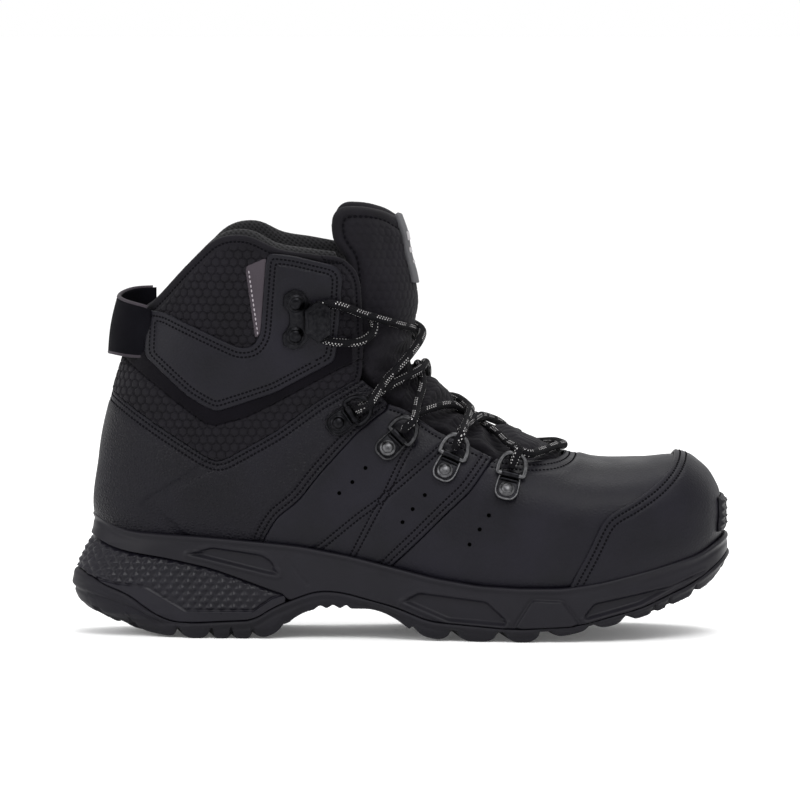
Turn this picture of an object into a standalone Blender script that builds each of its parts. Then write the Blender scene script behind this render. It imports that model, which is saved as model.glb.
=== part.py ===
"""Steel toe work boot for the right foot, built as separate pieces.

Metres. +X points to the toe, +Y to the inner (medial) side, +Z up.
The origin is on the ground, under the middle of the bounding box.
Shapes are written in millimetres and scaled once when a mesh is made.
"""
import math

import bmesh
import bpy
import numpy as np
from mathutils import Matrix, Vector
from mathutils.bvhtree import BVHTree

MM = 0.001

# ---- driving dimensions, in millimetres ----
GAP = 0.3             # clearance between neighbouring pieces
LEATHER = 1.8         # upper leather
OVERLAY = 1.5         # raised leather overlays
BACKING = 1.7         # foam, toe cap and counter layer behind the leather
LINING = 1.9          # mesh lining
TONGUE = 4.6          # padded tongue
FOOTBED = 3.5
RIM = 3.2             # how far the midsole rim stands off the upper
LACE_D = 4.0          # round lace
RING_ROD = 2.0        # wire of the lacing rings
RING_REACH = 9.9     # hinge bar to far bar of a ring
RING_TILT = 27.0      # how far a ring stands up from the leather, degrees
LACE_TURN = 4.9       # radius of the lace's turn round a ring's far bar
ROWS = 23             # facets along the boot
COLS = 20             # facets around the boot

# Depth of each layer measured from the outer face of the leather.
D_LEATHER = (0.0, -LEATHER)
D_OVERLAY = (GAP + OVERLAY, GAP)
D_BACKING = (-LEATHER - GAP, -LEATHER - GAP - BACKING)
D_LINING = (D_BACKING[1] - GAP, D_BACKING[1] - GAP - LINING)
D_TONGUE = (D_LINING[1] - GAP, D_LINING[1] - GAP - TONGUE)
D_FLAP = (D_TONGUE[0] - 0.9, D_TONGUE[1] - 0.4)
D_FOOTBED = (D_LINING[1] - GAP, D_LINING[1] - GAP - FOOTBED)
D_SHANK = (-0.3, -1.7)

# The last: instep point, sole or heel point, half width, roundness on top and
# below, from the toe tip back over the instep and up the leg.
STATIONS = (
    ((149.2, 62.0), (149.2, 50.0), 5.0, 2.2, 2.4),
    ((147.0, 69.5), (147.8, 42.0), 18.0, 2.3, 2.8),
    ((141.2, 78.0), (142.2, 36.0), 29.0, 2.4, 3.4),
    ((130.0, 84.0), (130.0, 30.0), 38.5, 2.5, 4.0),
    ((112.0, 83.0), (109.0, 23.5), 46.0, 2.5, 4.5),
    ((90.0, 83.0), (84.0, 17.5), 49.5, 2.4, 4.5),
    ((67.0, 89.5), (57.0, 15.5), 49.5, 2.3, 4.5),
    ((43.0, 101.0), (27.0, 18.5), 46.0, 2.2, 4.5),
    ((25.0, 112.5), (-4.0, 24.0), 41.0, 2.2, 4.2),
    ((14.0, 124.0), (-38.0, 31.0), 37.0, 2.2, 4.0),
    ((11.0, 136.0), (-75.0, 36.0), 35.5, 2.2, 3.8),
    ((11.5, 147.0), (-113.0, 38.5), 35.5, 2.2, 3.2),
    ((13.0, 156.0), (-142.0, 52.0), 36.5, 2.3, 2.6),
    ((13.5, 165.0), (-141.5, 84.0), 38.0, 2.4, 2.3),
    ((13.5, 173.0), (-136.5, 110.0), 39.5, 2.4, 2.3),
    ((12.0, 182.0), (-129.0, 135.0), 40.5, 2.4, 2.3),
    ((10.0, 190.0), (-122.0, 157.0), 41.0, 2.4, 2.3),
    ((6.0, 199.0), (-118.0, 179.0), 41.0, 2.4, 2.3),
    ((2.0, 208.0), (-116.0, 199.0), 41.0, 2.4, 2.3),
)

# Height of the sole's lines along the boot, as (x, z).
RIM_TOP = ((-148, 58), (-143, 57), (-134, 52), (-125, 49.8), (-95, 48), (-66, 45.6), (-47, 43.7),
           (-22, 39), (-3, 34.3), (16, 29.6), (37, 26.3), (56, 25.4), (76, 25.4), (94, 28.2),
           (119, 34.3), (140, 40.4), (149, 46.5), (155, 50))
RIM_LOW = ((-148, 50), (-144, 48.5), (-138, 44), (-128, 40.4), (-109, 37.6), (-88, 33), (-73, 27.7),
           (-56, 21.5), (-50, 20.0))
TREAD_TOP = ((-155, 32), (-145, 25), (-131, 19.7), (-119, 11.7), (-109, 7.5), (-97, 7), (-68, 8.5),
             (-59, 14.6), (-47, 19.5), (-38, 22.5), (-27, 22), (-2, 15.4), (14, 9), (52, 6),
             (82, 7.5), (113, 16), (136, 26), (148, 35), (155, 44))
TREAD_LOW = ((-155, 26), (-149.5, 14), (-144, 12), (-136, 7.6), (-131, 4.7), (-117, 1.6), (-100, 0),
             (-66, 0), (-58, 2), (-47, 12), (-37, 14.5), (-12, 14.5), (-2, 10.5), (6, 4), (14, 1),
             (34, 0), (60, 0), (78, 3.4), (100, 8), (118, 13), (137, 20.5), (147, 27), (155, 38))
CUSHION_TOP = ((-155, 33.0), (-152, 38.5), (-149.7, 41.5), (-146, 45.5), (-144, 46.5), (-138, 43.7))

# Outlines seen from the side, as (x, z).
THROAT = ((-29, 212), (-28, 179), (-19, 169), (-17, 150), (-17, 122), (-10, 114), (2, 107.5),
          (18, 97), (43.5, 85.5), (62, 84.5), (80, 88))
COLLAR = ((-130, 150), (-120, 154), (-113, 160), (-98, 176), (-85, 187), (-70, 189), (-54, 182),
          (-28, 179))
SEAM_REAR = ((-64, 30), (-63.7, 45.6), (-57.6, 56.4), (-46.8, 64.9), (-37.4, 77.1), (-19, 97.3),
             (-8.2, 105.8), (4, 112))
SEAM_VAMP = ((-10, 20), (-3.5, 34.8), (10.6, 48.4), (22.3, 60.2), (32.7, 70), (43.5, 85), (46, 95))
QUARTER_TOP = ((-150, 125), (-133.2, 113.7), (-112.6, 99.6), (-88.1, 84.1), (-83, 83.2),
               (-57.6, 97.3), (-37.4, 111.9), (-20, 121.7), (-5, 130))
ANKLE = ((-115.9, 152), (-108.8, 151.3), (-74, 136.3), (-67.9, 137.2), (-64.6, 142.4),
         (-61.8, 177.7), (-59.9, 180), (-49.6, 178.5), (-31, 174.8), (-27.5, 170.6), (-27.5, 158.4),
         (-29.4, 136.3), (-30.3, 130.2), (-57.6, 115.6), (-84.4, 106.7), (-88.1, 107.6),
         (-98.5, 113.7), (-116.5, 132))
ACCENT = ((-73.5, 172.5), (-63.0, 178.0), (-65.3, 143.6), (-68.6, 140.6))
GUARD_BACK = ((76.5, 20), (78.7, 27), (87.7, 42.3), (93.8, 55.5), (97.5, 59.7), (108.3, 65.3),
              (119.1, 72.4), (127.1, 80.4), (131, 92))

# Lacing rings: hinge bar (x, z) on the side of the boot and the way the ring points.
RINGS = ((-22.4, 105.2, 34.0), (-0.2, 94.6, 47.0), (24.4, 85.4, 67.0), (51.4, 76.8, 77.0))
HOOK = (-39.0, 150.0)
# Where the lace crosses the middle of the instep, as (x, z).
CROSSINGS = ((9.3, 142.0), (12.2, 127.5), (32.0, 111.5), (41.0, 103.5))
FRONT_BAR = (76.0, 87.0)
TONGUE_HINGE = (7.0, 160.0)
LOOP_HINGE = (-118.6, 143.0)

BOOT = "steel_toe_work_boot"


# ---------------------------------------------------------------- helpers
def clear_scene():
    for item in list(bpy.data.objects):
        bpy.data.objects.remove(item, do_unlink=True)


def make_collection(name):
    found = bpy.data.collections.new(name)
    bpy.context.scene.collection.children.link(found)
    return found


def material(name, colour, rough, metal=0.0):
    mat = bpy.data.materials.new(name)
    mat.use_nodes = True
    shader = mat.node_tree.nodes["Principled BSDF"]
    shader.inputs["Base Color"].default_value = (*colour, 1.0)
    shader.inputs["Roughness"].default_value = rough
    shader.inputs["Metallic"].default_value = metal
    mat.diffuse_color = (*colour, 1.0)
    return mat


def mesh_object(name, points, faces):
    mesh = bpy.data.meshes.new(name)
    mesh.from_pydata([tuple(float(c) * MM for c in p) for p in points], [], faces)
    mesh.update()
    item = bpy.data.objects.new(name, mesh)
    bpy.context.scene.collection.objects.link(item)
    tidy(item)
    return item


def tidy(item, merge=0.02):
    """Welds the mesh, keeps its one main body and turns every face outwards."""
    mesh = bmesh.new()
    mesh.from_mesh(item.data)
    bmesh.ops.remove_doubles(mesh, verts=mesh.verts, dist=merge * MM)
    bmesh.ops.dissolve_degenerate(mesh, edges=mesh.edges, dist=merge * MM)
    bmesh.ops.triangulate(mesh, faces=mesh.faces)
    keep_largest(mesh)
    bmesh.ops.recalc_face_normals(mesh, faces=mesh.faces)
    mesh.to_mesh(item.data)
    mesh.free()


def keep_largest(mesh):
    mesh.verts.ensure_lookup_table()
    seen = set()
    groups = []
    for start in mesh.verts:
        if start.index in seen:
            continue
        stack = [start]
        seen.add(start.index)
        group = []
        while stack:
            vert = stack.pop()
            group.append(vert)
            for edge in vert.link_edges:
                other = edge.other_vert(vert)
                if other.index not in seen:
                    seen.add(other.index)
                    stack.append(other)
        groups.append(group)
    groups.sort(key=len)
    for group in groups[:-1]:
        bmesh.ops.delete(mesh, geom=group, context="VERTS")


def combine(item, other, operation):
    """Applies one Boolean and removes the second body."""
    step = item.modifiers.new("step", "BOOLEAN")
    step.operation = operation
    step.solver = "EXACT"
    step.object = other
    bpy.context.view_layer.update()
    graph = bpy.context.evaluated_depsgraph_get()
    result = bpy.data.meshes.new_from_object(item.evaluated_get(graph))
    item.modifiers.clear()
    item.data = result
    bpy.data.objects.remove(other, do_unlink=True)
    tidy(item)
    return item


def along(line, x):
    xs = [p[0] for p in line]
    zs = [p[1] for p in line]
    return float(np.interp(x, xs, zs))


def catmull(points, count):
    """Smooth curve through points, with count samples between each pair."""
    pts = [np.array(p, float) for p in points]
    pts = [2 * pts[0] - pts[1]] + pts + [2 * pts[-1] - pts[-2]]
    out = []
    for i in range(1, len(pts) - 2):
        a, b, c, d = pts[i - 1:i + 3]
        for k in range(count):
            t = k / count
            out.append(0.5 * (2 * b + (c - a) * t + (2 * a - 5 * b + 4 * c - d) * t * t
                              + (3 * b - a - 3 * c + d) * t ** 3))
    out.append(pts[-2])
    return out


# ---------------------------------------------------------------- the last
def last_section(values, cols):
    """One closed ring round the last, evenly spaced, starting at the instep."""
    fx, fz, bx, bz, half, top, low = values
    turn = np.linspace(0.0, 2 * np.pi, 241)
    c = np.cos(turn)
    s = np.sin(turn)
    power = np.where(c >= 0, 2 / top, 2 / low)
    along_axis = np.sign(c) * np.abs(c) ** power
    across = np.sign(s) * np.abs(s) ** power
    cx, cz = (fx + bx) / 2, (fz + bz) / 2
    ring = np.stack([cx + along_axis * (fx - bx) / 2, across * half,
                     cz + along_axis * (fz - bz) / 2], axis=1)
    step = np.linalg.norm(np.diff(ring, axis=0), axis=1)
    run = np.concatenate([[0], np.cumsum(step)])
    even = np.linspace(0, run[-1], cols + 1)[:-1]
    return np.stack([np.interp(even, run, ring[:, k]) for k in range(3)], axis=1)


def last_grid(rows, cols):
    """Points and outward normals of the boot's outer leather face."""
    table = [(*f, *b, w, t, low) for f, b, w, t, low in STATIONS]
    fine = np.array(catmull(table, 16))
    middle = (fine[:, 0:2] + fine[:, 2:4]) / 2
    reach = 0.5 * np.linalg.norm(np.diff(fine[:, 0:2], axis=0), axis=1)
    reach += 0.5 * np.linalg.norm(np.diff(fine[:, 2:4], axis=0), axis=1)
    run = np.concatenate([[0], np.cumsum(reach + 0.01 * len(middle) / len(middle))])
    even = np.linspace(0, run[-1], rows)
    picked = np.stack([np.interp(even, run, fine[:, k]) for k in range(fine.shape[1])], axis=1)
    grid = np.array([last_section(v, cols) for v in picked])
    forward = np.gradient(grid, axis=0)
    around = (np.roll(grid, -1, axis=1) - np.roll(grid, 1, axis=1)) / 2
    normal = np.cross(forward, around)
    length = np.linalg.norm(normal, axis=2, keepdims=True)
    normal = normal / np.maximum(length, 1e-9)
    centre = grid.mean(axis=1, keepdims=True)
    if float(((grid - centre) * normal).sum()) < 0:
        normal = -normal
    return grid, normal


def grid_faces(rows, cols, start, flip):
    faces = []
    for i in range(rows - 1):
        for j in range(cols):
            a = start + i * cols + j
            b = start + i * cols + (j + 1) % cols
            quad = (a, b, b + cols, a + cols)
            faces.append(quad[::-1] if flip else quad)
    return faces


def last_solid(name, depth):
    """The whole last as one closed body, offset by depth."""
    points = (GRID + NORMAL * depth).reshape(-1, 3)
    faces = grid_faces(ROWS, COLS, 0, False)
    faces.append(tuple(range(COLS)))
    faces.append(tuple(range((ROWS - 1) * COLS, ROWS * COLS)))
    return mesh_object(name, points, faces)


def layer(name, depths):
    """A thin sock between two depths, open at the top of the leg."""
    outer = (GRID + NORMAL * depths[0]).reshape(-1, 3)
    inner = (GRID + NORMAL * depths[1]).reshape(-1, 3)
    inner[:COLS, 0] = outer[:COLS, 0] - (depths[0] - depths[1])
    count = ROWS * COLS
    faces = grid_faces(ROWS, COLS, 0, False) + grid_faces(ROWS, COLS, count, True)
    faces.append(tuple(range(COLS)))
    faces.append(tuple(range(count, count + COLS))[::-1])
    top = (ROWS - 1) * COLS
    for j in range(COLS):
        k = (j + 1) % COLS
        faces.append((top + j, top + k, count + top + k, count + top + j))
    return mesh_object(name, np.concatenate([outer, inner]), faces)


def prism(outline, low_y, high_y):
    """A flat outline in the side view pushed across the boot."""
    count = len(outline)
    points = [(x, low_y, z) for x, z in outline] + [(x, high_y, z) for x, z in outline]
    faces = [tuple(range(count)), tuple(range(count, 2 * count))]
    faces += [(i, (i + 1) % count, count + (i + 1) % count, count + i) for i in range(count)]
    return mesh_object("cutter", points, faces)


def panel(name, depths, outline, side=0, cuts=()):
    """A piece of one layer: side -1 is the outer half, +1 the inner half, 0 both."""
    low_y, high_y = {-1: (-90, -GAP / 2), 1: (GAP / 2, 90), 0: (-90, 90)}[side]
    item = combine(layer(name, depths), prism(outline, low_y, high_y), "INTERSECT")
    for cut in cuts:
        item = combine(item, prism(cut, -95, 95), "DIFFERENCE")
    return item


def shifted(line, dx, dz):
    return tuple((x + dx, z + dz) for x, z in line)


# ---------------------------------------------------------------- surface frames
def surface_tree():
    grid, normal = last_grid(90, 90)
    faces = grid_faces(90, 90, 0, False)
    tree = BVHTree.FromPolygons([Vector(p) for p in grid.reshape(-1, 3)], faces)
    return tree


def from_side(x, z, side):
    """Point and outward normal of the leather where a sideways line meets it."""
    hit, normal, _, _ = TREE.ray_cast(Vector((x, 120.0 * side, z)), Vector((0, -side, 0)))
    if normal.y * side < 0:
        normal = -normal
    return hit, normal


def above(point, height):
    """The nearest leather point raised by height along its normal."""
    hit, normal, _, _ = TREE.find_nearest(Vector(point))
    inside = Vector((hit.x - 25, 0, hit.z - 45))
    if normal.dot(hit - inside) < 0:
        normal = -normal
    return hit + normal * height


def fitting_frame(x, z, degrees, side):
    """Origin on the leather with axes: along the fitting, across it, outwards."""
    origin, out = from_side(x, z, side)
    angle = math.radians(degrees)
    aim = Vector((math.cos(angle), 0.0, math.sin(angle)))
    aim = (aim - out * aim.dot(out)).normalized()
    across = out.cross(aim).normalized()
    frame = Matrix((aim, across, out)).transposed().to_4x4()
    frame.translation = origin
    return frame


def place(item, frame):
    """Moves a mesh made round the origin into a fitting's frame."""
    moved = frame.copy()
    moved.translation = frame.translation * MM
    item.data.transform(moved)
    tidy(item, 0.005)
    return item


# ---------------------------------------------------------------- sole
def wall(x, grow):
    """Half widths of the sole at x on the outer and the inner side."""
    pull = max(0.0, (-100 - x) / 54)
    real = min(max(x + 7.4 * pull ** 1.5, HEEL_END), TOE_END)
    spread = grow * min(1.0, (154.4 - abs(x)) / 12 + 0.1)
    return (float(np.interp(real, WALL_X, WALL_OUT)) + spread,
            float(np.interp(real, WALL_X, WALL_IN)) + spread)


def rim_wall(x):
    real = min(max(x, HEEL_END), TOE_END)
    return (float(np.interp(real, WALL_X, WALL_OUT)), float(np.interp(real, WALL_X, WALL_IN)))


def sole_wall_table():
    """Where the rim stands, found on the last grown by the rim's stand-off."""
    grid, normal = last_grid(90, 90)
    points = (grid + normal * (RIM + GAP)).reshape(-1, 3)
    tree = BVHTree.FromPolygons([Vector(p) for p in points],
                                grid_faces(90, 90, 0, False) + [tuple(range(90))])
    xs, outer, inner = [], [], []
    for x in np.linspace(-150, 156, 154):
        z = along(RIM_TOP, x) - 1.5
        hit_out = tree.ray_cast(Vector((x, -120, z)), Vector((0, 1, 0)))[0]
        hit_in = tree.ray_cast(Vector((x, 120, z)), Vector((0, -1, 0)))[0]
        if hit_out is None or hit_in is None:
            continue
        xs.append(float(x))
        outer.append(abs(hit_out.y))
        inner.append(abs(hit_in.y))
    return xs, outer, inner


def sole_body(name, xs, low, high, walls, round_low=1.2, round_high=1.0):
    """A slab of the sole between two height lines, with softened edges."""
    points = []
    for x in xs:
        out_y, in_y = walls(x)
        bottom, top = low(x), high(x)
        r_low = min(round_low, (top - bottom) / 3, out_y / 2)
        r_high = min(round_high, (top - bottom) / 3, out_y / 2)
        points += [(x, -out_y + r_low, bottom), (x, -out_y, bottom + r_low),
                   (x, -out_y, top - r_high), (x, -out_y + r_high, top),
                   (x, in_y - r_high, top), (x, in_y, top - r_high),
                   (x, in_y, bottom + r_low), (x, in_y - r_low, bottom)]
    count = len(xs)
    faces = []
    for i in range(count - 1):
        for j in range(8):
            a = i * 8 + j
            b = i * 8 + (j + 1) % 8
            faces.append((a, b, b + 8, a + 8))
    faces.append(tuple(range(8)))
    faces.append(tuple(range((count - 1) * 8, count * 8)))
    return mesh_object(name, points, faces)


def spaced(low, high, count):
    """Stations that crowd together at both ends, where the outline turns."""
    t = np.linspace(0, np.pi, count)
    return [float(low + (high - low) * (1 - math.cos(v)) / 2) for v in t]


def sole_stations(low, high):
    """The stations shared by every slab of the sole, so their faces run parallel."""
    shared = spaced(-153.9, 153.9, 34)
    shared += [-152.6, -53.8, -53.0, -49.0, HEEL_END + 0.2, TOE_END - 0.2]
    return sorted(x for x in shared if low - 0.01 <= x <= high + 0.01)


def make_tread():
    xs = sole_stations(-153.9, 153.9)
    item = sole_body("outsole", xs, lambda x: along(TREAD_LOW, x), lambda x: along(TREAD_TOP, x),
                     lambda x: wall(x, 1.0), 1.5, 0.8)
    grooves = ((-124, 2.2), (-101, 2.4), (-86, 2.4), (-67.5, 2.4), (24.5, 3.0), (46, 3.6),
               (68.5, 4.5), (86, 4.5), (105, 4.5), (123, 3.5))
    for x, width in grooves:
        floor = along(TREAD_LOW, x)
        depth = min(4.5, along(TREAD_TOP, x) - floor - 2.5)
        outline = ((x - width / 2, floor + depth), (x + width / 2, floor + depth),
                   (x + width / 2 + 0.8, floor - 9), (x - width / 2 - 0.8, floor - 9))
        item = combine(item, prism(outline, -80, 80), "DIFFERENCE")
    return item


def make_toe_bumper():
    outline = ((138, 40.6), (149, 47.4), (155, 50.9), (160, 53), (160, 64.5), (138, 61))
    depths = (2 * GAP + OVERLAY + 2.9, 2 * GAP + OVERLAY)
    item = combine(layer("toe_bumper", depths), prism(outline, -30, 30), "INTERSECT")
    return item


def make_cushion():
    xs = sole_stations(-152.6, -53.8)
    high = lambda x: along(CUSHION_TOP, x) if x < -138 else along(RIM_LOW, x) - GAP
    return sole_body("heel_cushion", xs, lambda x: along(TREAD_TOP, x) + GAP, high,
                     lambda x: wall(x, -0.2), 0.5, 0.5)


def make_midsole():
    xs = sole_stations(HEEL_END + 0.2, TOE_END - 0.2)

    def low(x):
        if x < -52.9:
            return along(RIM_LOW, x)
        return along(TREAD_TOP, x) + GAP

    item = sole_body("midsole", xs, low, lambda x: along(RIM_TOP, x), rim_wall, 1.0, 1.0)
    item = combine(item, last_solid("cutter", GAP), "DIFFERENCE")
    return item


# ---------------------------------------------------------------- upper
def sole_margin(drop, start=-160, end=165):
    xs = np.linspace(start, end, 40)
    return [(float(x), along(RIM_TOP, x) - drop) for x in xs]


def above_rim(drop):
    """Side outline of everything above a line that follows the rim."""
    return sole_margin(drop) + [(165, 230), (-160, 230)]


def make_vamp():
    front = [p for p in sole_margin(4.5) if p[0] > 0]
    seam = shifted(SEAM_VAMP, 0.2, 0)
    outline = [*seam[1:-1], (44.5, 85.5), (62, 84.5), (80, 88), (100, 100), (165, 100)]
    outline += front[::-1]
    return panel("vamp", D_LEATHER, outline)


def make_side_panel(name, side):
    seam_front = shifted(SEAM_VAMP, -0.2, 0)
    seam_back = shifted(SEAM_REAR, 0.2, 0)
    low = [p for p in sole_margin(4.5) if -62 < p[0] < -4]
    throat = [p for p in THROAT if 0 < p[0] < 43]
    outline = [*seam_back[1:-1], (0.5, 108.5), *throat, (43.2, 85.6)]
    outline += [*seam_front[1:-1]][::-1][1:]
    outline += low[::-1]
    return panel(name, D_LEATHER, outline, side)


def make_rear_quarter():
    seam = shifted(SEAM_REAR, -0.2, 0)
    low = [p for p in sole_margin(4.5) if p[0] < -65]
    top = shifted(QUARTER_TOP, 0, -0.2)
    outline = [*low, *seam[1:-1], (-3.5, 109.5), (-9.8, 113.6), (-16.8, 120.9), *top[1:-1][::-1]]
    outline += [(-160, 125)]
    return panel("rear_quarter", D_LEATHER, outline)


def make_collar_textile():
    bottom = shifted(QUARTER_TOP, 0, 0.2)
    outline = [(-160, 132), *bottom[1:-1], (-17, 123), (-17, 150), (-19, 169), (-28, 179)]
    outline += [*COLLAR[::-1][1:], (-160, 150)]
    return panel("collar_textile", D_LEATHER, outline)


def make_ankle_overlay(name, side):
    return panel(name, D_OVERLAY, ANKLE, side)


def make_accent(name, side):
    return panel(name, D_OVERLAY, ACCENT, side)


def make_toe_guard():
    front = [(x, z + 1.2) for x, z in sole_margin(0) if x > 82]
    outline = [(80.5, 27.5), *GUARD_BACK[2:], (165, 100), *front[::-1]]
    return panel("toe_guard", D_OVERLAY, outline)


def make_toe_cap():
    outline = [(92, 33), (100, 70), (104, 100), (165, 100), (165, 46), (120, 36)]
    return panel("steel_toe_cap", D_BACKING, outline)


def make_heel_counter():
    outline = [(-160, 104), (-120, 98), (-96, 80), (-84, 62), (-80, 44), (-160, 47)]
    return panel("heel_counter", D_BACKING, outline)


def make_interlining(name, side):
    low = [(x, z - 3) for x, z in sole_margin(0) if -78 < x < 90]
    outline = [(-79, 46), (-83, 62), (-92, 79), (-45, 98), (-20, 114), (-9, 112.5),
               (2, 106.5), (18, 96), (43.5, 84.5), (62, 83.5), (90, 82), (99, 70), (91, 34)]
    return panel(name, D_BACKING, outline + low[::-1], side)


def make_ankle_foam():
    outline = [(-160, 108), (-118, 101), (-94, 84), (-46, 101.5), (-21, 118), (-18, 123), (-18, 150),
               (-20, 168), (-29, 177.5), (-54, 180.5), (-70, 187), (-85, 185), (-98, 174),
               (-113, 158), (-125, 151), (-160, 148)]
    return panel("ankle_foam", D_BACKING, outline)


def make_insole_board():
    outline = [(-160, 20), (165, 10), (165, 33.5), (140, 34.5), (112, 27.5), (84, 22), (57, 20.5),
               (27, 23.5), (-4, 28.5), (-38, 35.5), (-75, 40), (-113, 42.5), (-160, 43)]
    return panel("insole_board", D_BACKING, outline)


def make_lining():
    outline = [(-160, 5), (165, 5), (165, 100), (100, 100), (80, 87), (62, 83), (43.5, 83.5),
               (18, 95), (2, 105.5), (-11, 112), (-18.5, 121), (-18.5, 150), (-20.5, 168),
               (-29.5, 178.5), (-30, 181), (-54, 184.5), (-70, 191.5), (-85, 189.5), (-99, 178),
               (-114, 162), (-121, 156), (-160, 152)]
    return panel("lining", D_LINING, outline)


def make_footbed():
    xs = np.linspace(-160, 160, 12)
    line = ((-150, 58), (-113, 54), (-75, 51), (-38, 46), (-4, 39), (27, 33), (57, 30), (84, 31.5),
            (109, 36), (150, 48))
    outline = [(-160, 5), (165, 5), *[(float(x), along(line, x)) for x in xs[::-1]]]
    return panel("footbed", D_FOOTBED, outline)


def make_shank():
    item = combine(layer("shank", D_SHANK), prism([(-100, 5), (16, 5), (16, 34), (-100, 60)],
                                                  -15, 15), "INTERSECT")
    return item


def make_filler():
    item = combine(layer("forefoot_filler", D_SHANK),
                   prism([(17, 5), (116, 5), (116, 40), (17, 22)], -24, 24), "INTERSECT")
    return item


# ---------------------------------------------------------------- tongue
def make_tongue_lower():
    hx, hz = TONGUE_HINGE
    outline = [(hx + 8, hz - 1.3), (hx - 3, hz - 1.3), (-21, hz - 5.2), (-22, 150), (-23, 121),
               (-15, 108), (0, 99), (17, 89), (42, 76), (62, 74.5), (86, 76), (96, 90), (60, 130)]
    return panel("tongue_lower", D_TONGUE, outline)


def make_tongue_flap():
    hx, hz = TONGUE_HINGE
    outline = [(hx + 8, hz), (hx - 3, hz), (-15.5, hz), (-17, 170), (-26, 180.5), (-29, 186),
               (-29.5, 196), (-24, 202.5), (0, 201.5), (12, 197), (20, 180)]
    return panel("tongue_flap", D_FLAP, outline)


def make_tongue_label():
    depths = (D_FLAP[0] + 1.0, D_FLAP[0] + 0.3)
    outline = [(-8, 165), (25, 163), (25, 198), (-8, 198)]
    item = combine(layer("tongue_label", depths), prism(outline, -15, 15), "INTERSECT")
    return item


# ---------------------------------------------------------------- heel loop
def make_heel_loop():
    """Webbing loop standing off the heel, its narrowed ends by the ankle overlays."""
    hx, hz = LOOP_HINGE
    spot, _ = from_side(hx, hz, 1)
    half = spot.y + 1.3
    back = -135.5
    turns = np.linspace(-1, 1, 25)
    ring = []
    for t in turns:
        a = t * math.pi / 2
        y = half * math.sin(a)
        x = hx + (back - hx) * abs(math.cos(a)) ** 0.75
        rise = abs(math.cos(a)) ** 0.6
        height = 9.0 + 16.0 * rise
        centre = hz + 2.5 * rise
        ring.append((x, y, centre - height / 2, centre + height / 2))
    thick = 1.8
    points = []
    for i, (x, y, low, high) in enumerate(ring):
        before = ring[max(i - 1, 0)]
        after = ring[min(i + 1, len(ring) - 1)]
        run = Vector((after[0] - before[0], after[1] - before[1], 0)).normalized()
        out = Vector((-run.y, run.x, 0))
        if out.dot(Vector((x + 90, y, 0))) < 0:
            out = -out
        dx, dy = out.x * thick, out.y * thick
        points += [(x, y, low), (x + dx, y + dy, low), (x + dx, y + dy, high), (x, y, high)]
    faces = []
    count = len(ring)
    for i in range(count - 1):
        for j in range(4):
            a = i * 4 + j
            b = i * 4 + (j + 1) % 4
            faces.append((a, b, b + 4, a + 4))
    faces += [(0, 1, 2, 3), tuple(range((count - 1) * 4, count * 4))]
    return mesh_object("heel_loop", points, faces)


# ---------------------------------------------------------------- fittings
def cylinder(radius, length, segments, axis, centre):
    """A round bar of the given length along axis x, y or z."""
    points = []
    for end in (-length / 2, length / 2):
        for k in range(segments):
            a = 2 * math.pi * k / segments
            u, v = radius * math.cos(a), radius * math.sin(a)
            spot = {"x": (end, u, v), "y": (u, end, v), "z": (u, v, end)}[axis]
            points.append(tuple(spot[i] + centre[i] for i in range(3)))
    faces = [tuple(range(segments)), tuple(range(segments, 2 * segments))]
    faces += [(k, (k + 1) % segments, segments + (k + 1) % segments, segments + k)
              for k in range(segments)]
    return mesh_object("bar", points, faces)


def plate(outline, low, high):
    """A flat plate with its outline given along and across a fitting."""
    count = len(outline)
    points = [(x, y, low) for x, y in outline] + [(x, y, high) for x, y in outline]
    faces = [tuple(range(count)), tuple(range(count, 2 * count))]
    faces += [(i, (i + 1) % count, count + (i + 1) % count, count + i) for i in range(count)]
    return mesh_object("plate", points, faces)


def dome(name, centre, radius, low, high):
    """A rivet head."""
    x, y = centre
    levels = ((1.0, low), (1.0, low + 0.4 * (high - low)), (0.72, low + 0.85 * (high - low)))
    segments = 10
    points = []
    for share, z in levels:
        for k in range(segments):
            a = 2 * math.pi * k / segments
            points.append((x + radius * share * math.cos(a), y + radius * share * math.sin(a), z))
    points.append((x, y, high))
    faces = [tuple(range(segments))]
    for row in range(2):
        for k in range(segments):
            a = row * segments + k
            b = row * segments + (k + 1) % segments
            faces.append((a, b, b + segments, a + segments))
    last = 2 * segments
    faces += [(last + k, last + (k + 1) % segments, 3 * segments) for k in range(segments)]
    return mesh_object(name, points, faces)


def make_clip(name, frame):
    """Riveted clip whose rolled end carries the ring's straight bar."""
    body = plate([(-12.3, -2.4), (-10.8, -4.3), (-5, -4.7), (0.2, -2.6), (0.2, 2.6), (-5, 4.7),
                  (-10.8, 4.3), (-12.3, 2.4)], 0.5, 1.3)
    body = combine(body, cylinder(2.0, 5.2, 10, "y", (0.0, 0.0, 2.5)), "UNION")
    body = combine(body, cylinder(1.35, 9.0, 8, "y", (0.0, 0.0, 2.5)), "DIFFERENCE")
    body.name = name
    return place(body, frame)


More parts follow.
